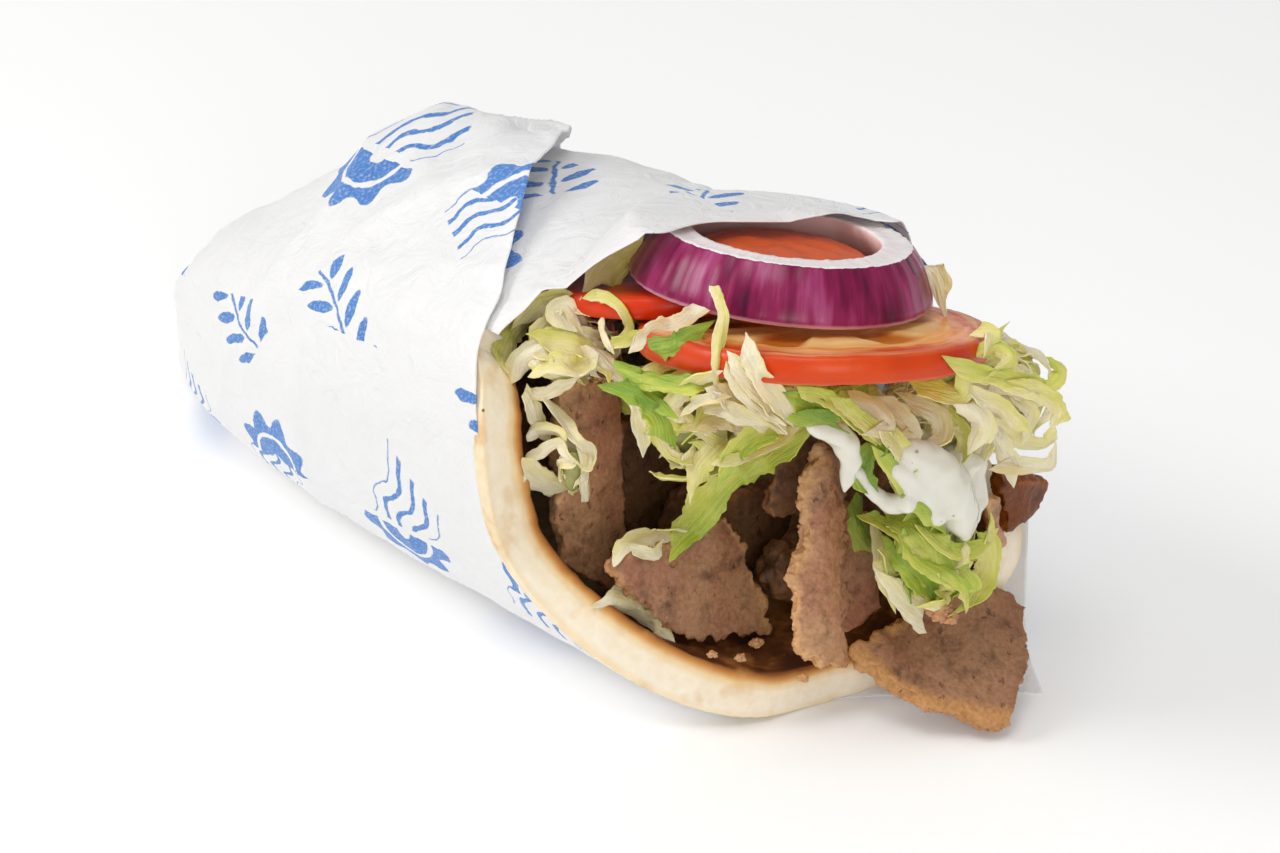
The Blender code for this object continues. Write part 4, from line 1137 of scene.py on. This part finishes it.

# Shreds that lie on top, seen from the open side: width in mm, tone, twist, frill, and the path
# across and up in mm from the middle of the view.
# Shreds that lie in shade are given higher tones, whose darker green is partly painted shade.
LAID = (
    (5.3, 0.42, 0.3, 0.2, ((-30.5, 13.5), (-29, 18.5), (-26.5, 22.5), (-21.5, 26))),
    (4.8, 0.2, -0.5, 0.3, ((-25.5, 22.5), (-21.5, 26), (-17, 27), (-13, 24.5))),
    (4.4, 0.1, 0.5, 0.2, ((-24, 17.5), (-20.5, 21.5), (-16, 23.5), (-11.5, 22.5))),
    (4.6, 0.02, 0.5, 0.2, ((-27, 10), (-26, 14.5), (-22, 17.5), (-17.5, 19), (-12, 19.5), (-7, 20))),
    (3.5, 0.0, -0.7, 0.3, ((-16, 21), (-18.5, 25), (-16, 26.5), (-14.5, 24), (-12.5, 21))),
    (7.1, 0.32, 0.3, 0.5, ((-21.5, 18), (-17, 17.5), (-12, 16), (-10, 12.5))),
    (4.8, 0.25, -0.3, 0.6, ((-23, 12.5), (-18.5, 13.5), (-13.5, 13), (-11, 15))),
    (3, 0.0, 0.5, 0.3, ((-25, 7.5), (-21, 7), (-17, 9), (-12.5, 11))),
    (3.7, 0.05, 0.8, 0.15, ((-12, 17.5), (-7, 13), (-2, 8.5), (0, 2), (1.5, -5))),
    (2.2, 0.42, 1.0, 0.1, ((-11.5, 27.5), (-8.5, 28.5), (-5, 26.5), (-3, 23.5), (-2.5, 21),
        (-4.5, 18.5), (-7, 18))),
    (2.6, 0.5, 0.4, 0.2, ((-6.5, 18), (-2, 19), (2, 21.5))),
    (1.6, -0.02, 0.4, 0.2, ((-8.5, 23.5), (-8, 20), (-6, 16))),
    (4, 0.0, 0.4, 0.4, ((-2, 17.5), (3.5, 21), (8.5, 22.5), (13.5, 26))),
    (5.3, 0.9, 0.3, 0.5, ((2.5, 17), (6.5, 17.5), (10, 19), (15, 21.5))),
    (7.6, 0.35, 0.2, 0.3, ((0.5, 40), (-3.5, 38), (-7.5, 34), (-11, 29.5))),
    (3.7, 0.1, 0.4, 0.2, ((-25, 8), (-23, 3.5), (-21.5, -2.5))),
    (2.5, 0.05, 0.7, 0.1, ((-20.5, 6), (-16.5, 1.5), (-13.5, -3), (-10.5, -5.5), (-11, -9), (-13, -9))),
    (2.3, 0.05, 0.9, 0.1, ((-24.5, -7), (-21.5, -5.5), (-18, -3.5), (-16, -6), (-12.5, -9))),
    (2.3, 0.12, 0.6, 0.1, ((-24.5, -2), (-22, -0.5), (-18, -1), (-16, -3.5))),
    (5.7, 0.12, 0.4, 0.3, ((-25.5, -9), (-22.5, -11), (-19, -13), (-16.5, -14))),
    (2.3, 0.34, 0.4, 0.05, ((16, 30.5), (17, 28), (18, 23.5), (17, 17.5), (16.5, 12), (16.5, 6.5))),
    (4, 0.04, 0.5, 0.5, ((22.5, 18), (24.5, 14), (27, 9.5), (30.5, 5), (32.5, 0.5))),
    (3.3, 0.06, -0.5, 0.5, ((20, 16), (22.5, 11), (26.5, 6), (31.5, 0.5))),
    (2.8, 0.1, 0.4, 0.4, ((18.5, 13), (21.5, 9), (25, 4.5), (30.5, 0.5))),
    (4.4, 0.05, 0.4, 0.2, ((16, 9), (20.5, 5), (26, 1.5), (31, -1))),
    (4.8, 0.18, -0.4, 0.4, ((11, -1), (15, 1), (20, 1), (25, -0.5))),
    (2.8, 0.0, 0.8, 0.5, ((9.5, 3.5), (13, 5.5), (18.5, 7))),
    (4, 0.1, 0.4, 0.2, ((13.5, 4.5), (18, 4), (23, 2), (29.5, -0.5))),
    (3.1, 0.22, 0.5, 0.1, ((8, 1), (7, 4.5), (10.5, 8.5), (16, 12))),
    (7.6, 0.62, 0.5, 0.15, ((35, 0), (29.5, -4), (24.5, -7), (18.5, -11.5), (13, -19), (6.5, -26.5))),
    (5.7, 0.35, 0.3, 0.2, ((19, -1.5), (15, -6), (12.5, -10), (11.5, -15))),
    (5.7, 0.66, -0.3, 0.3, ((28.5, -0.5), (23.5, -3), (20, -6.5), (17, -11.5))),
    (2.6, 0.3, 0.4, 0.1, ((16, -7.5), (21, -7), (25, -5.5), (30.5, -3), (33.5, 0))),
    (3.9, 0.78, 0.2, 0.1, ((-5, 12.5), (0, 10.5), (5, 9.5), (11, 9), (15.5, 9))),
    (8.5, 1.05, 0.3, 0.2, ((-4, 10), (1.5, 7.5), (6.5, 4))),
    (5.3, 0.9, 0.3, 0.2, ((0, 4.5), (3.5, 2), (5, -3))),
    (3.5, 0.15, 0.5, 0.1, ((-6, -29), (-2, -25), (3, -24), (8.5, -22.5))),
    (2.5, 0.05, 1.2, 0.2, ((-2, -26.5), (0.5, -27.5), (3.5, -27.5), (5, -25))),
    (5.8, 0.15, 0.3, 0.2, ((-8.5, -37.5), (-3, -38.5), (2, -41), (7, -45))),
    (4.4, 0.9, 0.3, 0.3, ((32, 6), (37.5, 4.5), (43, 1.5))),
    (4.8, 0.95, -0.3, 0.3, ((34, 3), (38.5, 1.5), (44, -0.5))),
    (3.5, 0.6, 0.4, 0.1, ((34.5, 7.5), (41, 6), (46.5, 1.5), (53.5, -5))),
    (3.5, 0.5, 0.4, 0.1, ((42.5, 6.5), (48.5, 1), (55.5, -4.5))),
    (3.7, 0.05, 0.8, 0.2, ((46, 6), (51, 4), (54, 0), (49.5, -1))),
    (3.9, -0.05, 0.7, 0.2, ((51.5, 6.5), (56.5, 2.5), (59.5, -1.5), (54, -3))),
    (4, 0.42, 0.6, 0.2, ((59, 9), (65, 7.5), (70, 7), (70.5, 12.5))),
    (3.7, 0.45, 0.7, 0.1, ((61.5, 6.5), (66.5, 2.5), (71, -3), (68, -8), (63.5, -7))),
    (4.4, 0.0, 0.4, 0.15, ((76, 8.5), (76.5, 2), (74.5, -5), (71, -12))),
    (4.8, 0.0, 0.3, 0.1, ((72, 2.5), (78, -3.5), (82, -11))),
    (3.3, 0.2, 0.7, 0.2, ((77, 0.5), (82.5, -3), (87.5, -3.5), (90.5, -1))),
    (3.2, 0.0, 0.7, 0.2, ((78, -8), (85, -8.5), (89, -8), (90, -4))),
    (3.5, 0.5, 0.8, 0.15, ((67, 13.5), (76, 11), (84, 9.5), (88.5, 8.5), (91.5, 12), (89, 15))),
    (4.2, 0.3, 0.5, 0.3, ((79.5, 10), (87.5, 7), (91, 4), (91, 0.5))),
    (3.9, 0.45, 0.4, 0.1, ((73.5, 15), (77, 17.5), (80.5, 15), (76.5, 12))),
    (3, 0.3, 0.4, 0.1, ((73, 21), (76.5, 20.5), (75.5, 16.5))),
    (3.3, 0.1, 0.4, 0.2, ((80.5, 6), (85, 3), (83, -1.5))),
    (4.6, 0.3, 0.4, 0.2, ((53.5, -1), (57, -5.5), (58.5, -11))),
    (4.4, 0.05, 0.6, 0.2, ((57.5, 5.5), (64.5, 2.5), (65.5, -2.5), (60, -3.5))),
    (4.6, 0.05, -0.4, 0.2, ((70.5, 5), (74.5, 1), (73, -5))),
    (3.7, 0.22, 0.5, 0.2, ((71.5, 7.5), (79, 4), (83, -1))),
    (5.3, 0.12, 0.3, 0.2, ((63, 35), (65, 32), (66.5, 26))),
    (4.8, 1.0, 0.5, 0.3, ((52, -4), (49, -7), (48.5, -11), (51, -16))),
    (3.5, 0.7, 0.4, 0.2, ((52, -5), (55, -9.5), (58, -13.5))),
    (4.2, 0.8, 0.4, 0.3, ((56.5, -15), (62, -17.5), (65, -22.5))),
    (3, 0.65, 0.4, 0.05, ((49, -19), (55, -22.5), (62, -27.5), (66, -31.5))),
    (6.6, 0.72, 0.3, 0.3, ((53, -18.5), (59, -22), (63.5, -26.5), (65.5, -31.5))),
    (3.9, 0.6, 0.4, 0.9, ((61.5, -22), (67, -26.5), (72.5, -26.5), (76.5, -22.5))),
    (5.7, 0.4, 0.4, 0.3, ((75.5, -23.5), (75.5, -31), (73, -36), (68.5, -40))),
    (3.9, 0.3, 0.4, 0.1, ((71.5, -27), (69, -31), (65, -36))),
    (1.9, 0.35, 0.8, 0.1, ((61.5, -39.5), (66, -38.5), (66.5, -37), (64.5, -35.5))),
    (4.2, 0.35, 0.3, 0.1, ((52, -22.5), (52.5, -29.5), (54, -34), (55.5, -39))),
    (4.8, 0.85, 0.4, 0.4, ((53.5, -26.5), (57.5, -30), (61.5, -34), (63, -37.5))),
    (5.3, 0.12, 0.2, 0.1, ((53.5, -32), (56.5, -36), (59.5, -39.5), (61.5, -41.5))),
    (5.3, 0.8, 0.3, 0.3, ((45.5, -17), (47, -22.5), (50.5, -27.5))),
    (5.3, 0.55, 0.3, 0.2, ((67.5, -31), (71, -34.5), (71.5, -38.5))),
    (4.4, 0.7, 0.3, 0.3, ((57, -24.5), (60.5, -29), (66.5, -32.5), (70, -35.5))),
)


def surface_path(draw, centre, reach, length):
    """Path of a shred that lies over a heap, and the heap's own way out."""
    way = Vector((draw.gauss(0, 1), draw.gauss(0, 1), draw.gauss(0, 1))).normalized()
    run = way.cross(Vector((draw.gauss(0, 1), draw.gauss(0, 1), draw.gauss(0, 0.6)))).normalized()
    start = Vector([centre[i] + way[i] * reach[i] for i in range(3)])
    level = draw.uniform(0.76, 1.0)
    loose = draw.uniform(1.05, 1.35) if draw.random() < 0.3 else level
    bend = way.cross(run) * draw.uniform(-0.35, 0.35) * length
    points = []
    for step in range(5):
        share = step / 4.0
        point = start + run * length * (share - 0.5) + bend * (4.0 * share * (1.0 - share) - 0.5)
        point += 0.8 * Vector((draw.gauss(0, 1), draw.gauss(0, 1), draw.gauss(0, 1)))
        out = point - centre
        size = math.sqrt(sum((out[i] / reach[i]) ** 2 for i in range(3)))
        wanted = level + (loose - level) * share
        points.append(centre + out * min(1.6, wanted / max(size, 0.3)))
    return points, way


def make_heap(node, count, lengths, widths, tones, seed, leaf, deep):
    """One heap: a small uneven core of packed leaf in a darker palette, which is painted shade in the gaps,
    and the shreds over it.
    """
    draw = random.Random(seed)
    low, high = (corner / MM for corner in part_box(node))
    centre, reach = (low + high) / 2.0, (high - low) / 2.0
    core = cad_shape(node)
    bmesh.ops.translate(core, verts=core.verts, vec=-centre)
    bmesh.ops.scale(core, verts=core.verts, vec=(CORE_SHARE,) * 3)
    bmesh.ops.translate(core, verts=core.verts, vec=centre)
    core = refined(core, ("SUBSURF", {"levels": 2, "render_levels": 2}))
    tone = core.verts.layers.float.new("tone")
    for vert in core.verts:
        ridge = abs(noise.noise(vert.co / 3.0))
        vert.co += vert.normal * (1.5 * ridge - 0.4)
        vert[tone] = tones[0] + 0.15 + 0.6 * ridge
    keep(core, node + "_core", deep, "lettuce", node)
    shreds = bmesh.new()
    layers = (shreds.verts.layers.float.new("tone"), shreds.verts.layers.float_vector.new("leaf"))
    for number in range(count):
        points, way = surface_path(draw, centre, reach, draw.uniform(*lengths))
        add_shred(shreds, layers, points, draw.uniform(*widths), draw.uniform(*tones), seed + number,
                  way, draw.uniform(-1.4, 1.4), draw.uniform(0.0, 0.4))
    keep(thickened(shreds), node + "_shreds", leaf, "lettuce")


# Distance in mm from the eye of a shred where it has nothing under it, and the steepest fall of a
# shred that bridges a hollow.
HANGING_DEPTH = 812.0
STEEPEST = 0.8
# How far in mm a shred's middle lies above what is under it.
LAID_LIFT = 0.8


def filling_tree():
    """Search tree, in mm, of every finished piece that a shred or a drop can lie on."""
    shape = bmesh.new()
    for piece in finished:
        shape.from_mesh(piece.data)
    bmesh.ops.scale(shape, verts=shape.verts, vec=(1.0 / MM,) * 3)
    tree = BVHTree.FromBMesh(shape)
    shape.free()
    return tree


def let_down(path, trees, lift):
    """Lower a path, seen across and up from the open side, until it lies on what is there."""
    right, above, back = view_axes()
    eye = VIEW_TARGET + back * VIEW_DISTANCE
    flat = [Vector((row[0], row[1], 0.0)) for row in path]
    count = 5 * (len(path) - 1)
    places, ways, depths = [], [], []
    for step in range(count + 1):
        place, _ = path_point(flat, step / count)
        way = (VIEW_TARGET + right * place.x + above * place.y - eye).normalized()
        hits = [tree.ray_cast(eye, way)[3] for tree in trees]
        depths.append(min([hit for hit in hits if hit is not None], default=HANGING_DEPTH))
        places.append(place)
        ways.append(way)
    bridged = [
        min(depth + STEEPEST * (place - other).length for depth, other in zip(depths, places))
        for place in places]
    for _ in range(2):
        ends = [bridged[0]] + bridged + [bridged[-1]]
        bridged = [(ends[i] + 2.0 * ends[i + 1] + ends[i + 2]) / 4.0 for i in range(len(bridged))]
    return [eye + way * (depth - lift) for way, depth in zip(ways, bridged)]


def lay_shreds(leaf):
    """The shreds that lie on top, each let down on the filling and on the shreds before it."""
    trees = [filling_tree()]
    facing = view_axes()[2]
    laid = bmesh.new()
    layers = (laid.verts.layers.float.new("tone"), laid.verts.layers.float_vector.new("leaf"))
    for number, (width, tone, twist, frill, path) in enumerate(LAID):
        points = let_down(path, trees, LAID_LIFT)
        before = len(laid.verts)
        add_shred(laid, layers, points, width, tone, 30.0 + 0.37 * number, facing, twist, frill)
        laid.verts.ensure_lookup_table()
        strip = bmesh.new()
        fresh = {vert: strip.verts.new(vert.co) for vert in laid.verts[before:]}
        for face in {face for vert in fresh for face in vert.link_faces}:
            strip.faces.new([fresh[vert] for vert in face.verts])
        trees.append(BVHTree.FromBMesh(strip))
        strip.free()
    keep(thickened(laid), "lettuce_on_top", leaf, "lettuce")


def make_lettuce():
    """The heaps with their cores, and then the shreds that lie over everything."""
    leaf = shredded_lettuce("shredded_lettuce", (
        (0.0, "ead08c"), (0.18, "fbf1ca"), (0.36, "f6e8a2"), (0.52, "e4dd78"), (0.66, "ccd15a"),
        (0.82, "a5bb3e"), (1.0, "76992a")))
    # The cores get a darker, more olive copy of the leaf so that the gaps between the shreds look shaded:
    # painted shade.
    deep = shredded_lettuce("packed_lettuce_shaded", (
        (0.0, "d8cfa0"), (0.3, "b0ad68"), (0.6, "7d8338"), (1.0, "566425")))
    for node, count, lengths, widths, tones, seed in HEAPS:
        make_heap(node, count, lengths, widths, tones, seed, leaf, deep)
    lay_shreds(leaf)


# ---------------------------------------------------------------- sauce

def yogurt_sauce():
    """Yogurt sauce: thick, wet and off-white, with a few flecks of herb."""
    look, tree, shader = finish("yogurt_sauce", 0.14, Subsurface_Weight=0.25, Subsurface_Scale=0.003)
    shader.inputs["Subsurface Radius"].default_value = (1.0, 0.85, 0.6)
    place = add(tree, "TexCoord").outputs["Object"]
    cloud = add(tree, "TexNoise", {"Vector": place, "Scale": 120.0, "Detail": 3.0}).outputs["Fac"]
    cream = add(tree, "Mix", {0: cloud, 6: "dedaca", 7: "f0eee2"}, data_type="RGBA").outputs[2]
    fleck = add(tree, "TexVoronoi", {"Vector": place, "Scale": 300.0}, feature="F1")
    chosen = add(tree, "SeparateXYZ", {0: fleck.outputs["Color"]}).outputs[0]
    size = add(tree, "MapRange", {0: chosen, 1: 0.9, 2: 1.0, 3: 0.0, 4: 0.2}).outputs[0]
    herb = add(tree, "Math", {0: size, 1: fleck.outputs["Distance"]}, operation="SUBTRACT").outputs[0]
    herb = add(tree, "MapRange", {0: herb, 1: 0.0, 2: 0.08}).outputs[0]
    colour = add(tree, "Mix", {0: herb, 6: cream, 7: "9aa07a"}, data_type="RGBA").outputs[2]
    tree.links.new(colour, shader.inputs["Base Color"])
    bump = add(tree, "Bump", {"Height": cloud, "Strength": 0.12, "Distance": 0.001}).outputs[0]
    tree.links.new(bump, shader.inputs["Normal"])
    return look


# Sauce: CAD node and the runs it has made, each row across and up in mm and the run's half width.
SAUCES = (
    ("sauce_dollop", (
        ((59, -5.5, 2.8), (62.5, -7.5, 4.2), (66, -11.5, 5.2), (68.5, -16, 4.8),
         (70, -20, 3.6), (71, -23, 2.0)),
        ((64, -6, 2.6), (68.5, -7.5, 3.6), (72.5, -9, 2.8), (74, -8, 1.6)),
        ((71.5, -12, 3.8), (73, -15.5, 3.0), (72, -19, 2.4)),
        ((55.5, -8.5, 1.8), (58, -11, 2.8), (61.5, -14, 3.4), (64.5, -18.5, 3.0)),
        ((46, -8, 1.0), (48.5, -11.5, 1.5), (51.5, -15, 1.8), (54.5, -16.5, 2.1), (58, -16.5, 2.4)),
    )),
    ("sauce_drip", (
        ((37, 0, 1.2), (40, -1, 2.0), (43, -2, 2.6), (45, -4, 2.7),
         (46, -6.5, 2.4), (45.5, -9, 2.0), (45, -12, 1.4), (44.5, -14, 0.8)),
    )),
)
# How deep a drop sinks in, as a share of its radius, the size in mm to which drops are merged, and
# how many times the merged sauce is smoothed.
SUNK_SHARE = 0.6
SAUCE_CELL = 0.4
SAUCE_SMOOTHING = 12


def make_sauce():
    """Sauce run down over the filling: drops let down along each run and merged to one soft body."""
    look = yogurt_sauce()
    trees = [filling_tree()]
    for node, runs in SAUCES:
        shape = bmesh.new()
        for run in runs:
            centres = let_down(run, trees, 0.0)
            sizes = [Vector((row[2], 0.0, 0.0)) for row in run]
            for step, centre in enumerate(centres):
                radius = path_point(sizes, step / (len(centres) - 1))[0].x
                centre += view_axes()[2] * -SUNK_SHARE * radius
                made = bmesh.ops.create_icosphere(shape, subdivisions=3, radius=radius)["verts"]
                bmesh.ops.translate(shape, verts=made, vec=centre)
        shape = refined(shape, ("REMESH", {"mode": "VOXEL", "voxel_size": SAUCE_CELL}))
        for _ in range(SAUCE_SMOOTHING):
            smooth_once(shape)
        shape.normal_update()
        for vert in shape.verts:
            vert.co += vert.normal * (0.55 * noise.noise(vert.co / 3.2) + 0.1 * noise.noise(vert.co / 1.5))
        keep(shape, "yogurt_" + node, look, "sauce", node)


# ---------------------------------------------------------------- floor, light and camera

# Half the side of the floor in metres, the strength of the light all round, and how high in metres
# the lamps aim.
FLOOR_HALF = 3.0
SKY_STRENGTH = 0.42
LAMP_AIM = 0.04
# The lamps: azimuth and elevation in degrees, distance and size in metres, power in watts, colour.
LAMPS = (
    ("key_light", -40.0, 36.0, 1.5, 0.7, 9.0, "fffefc"),
    ("mouth_light", 60.0, 22.0, 1.5, 0.7, 4.5, "ffffff"),
    ("top_light", 30.0, 76.0, 1.3, 0.8, 5.5, "ffffff"),
)
# The camera's lens and sensor in mm.
LENS = 110.0
SENSOR = 36.0


def make_stage():
    """Plain white floor that runs out of view."""
    look, _, shader = finish("white_floor", 0.9, Specular_IOR_Level=0.1, Emission_Strength=0.06)
    shader.inputs["Base Color"].default_value = linear("fbfbfb")
    shader.inputs["Emission Color"].default_value = linear("ffffff")
    shape = bmesh.new()
    bmesh.ops.create_grid(shape, x_segments=1, y_segments=1, size=FLOOR_HALF)
    mesh = bpy.data.meshes.new("floor")
    shape.to_mesh(mesh)
    shape.free()
    mesh.materials.append(look)
    floor = bpy.data.objects.new("floor", mesh)
    bpy.context.scene.collection.objects.link(floor)


def aim(thing, azimuth, elevation, distance, target):
    """Stand a camera or light round the target, azimuth 0 looking along +Y, and turn it there."""
    back = way_back(azimuth, elevation)
    thing.location = Vector(target) + back * distance
    thing.rotation_euler = back.to_track_quat("Z", "Y").to_euler()


def make_light(name, azimuth, elevation, distance, size, power, colour):
    """A round soft lamp that stands round the wrap and shines on it."""
    light = bpy.data.lights.new(name, "AREA")
    light.shape = "DISK"
    light.size = size
    light.energy = power
    light.color = linear(colour)[:3]
    lamp = bpy.data.objects.new(name, light)
    bpy.context.scene.collection.objects.link(lamp)
    aim(lamp, azimuth, elevation, distance, (0.0, 0.0, LAMP_AIM))


def make_view():
    """Even light all round, three soft lamps and the camera on the open side."""
    scene = bpy.context.scene
    scene.view_settings.view_transform = "Standard"
    world = bpy.data.worlds.new("studio")
    scene.world = world
    world.use_nodes = True
    sky = world.node_tree.nodes["Background"]
    sky.inputs["Color"].default_value = linear("ffffff")
    sky.inputs["Strength"].default_value = SKY_STRENGTH
    for lamp in LAMPS:
        make_light(*lamp)
    camera = bpy.data.cameras.new("camera")
    camera.lens = LENS
    camera.sensor_width = SENSOR
    eye = bpy.data.objects.new("camera", camera)
    scene.collection.objects.link(eye)
    aim(eye, VIEW_AZIMUTH, VIEW_RISE, VIEW_DISTANCE * MM, VIEW_TARGET * MM)
    scene.camera = eye


make_paper()
make_pita()
make_meat()
make_tomatoes()
make_onion()
make_lettuce()
make_sauce()
make_stage()
make_view()
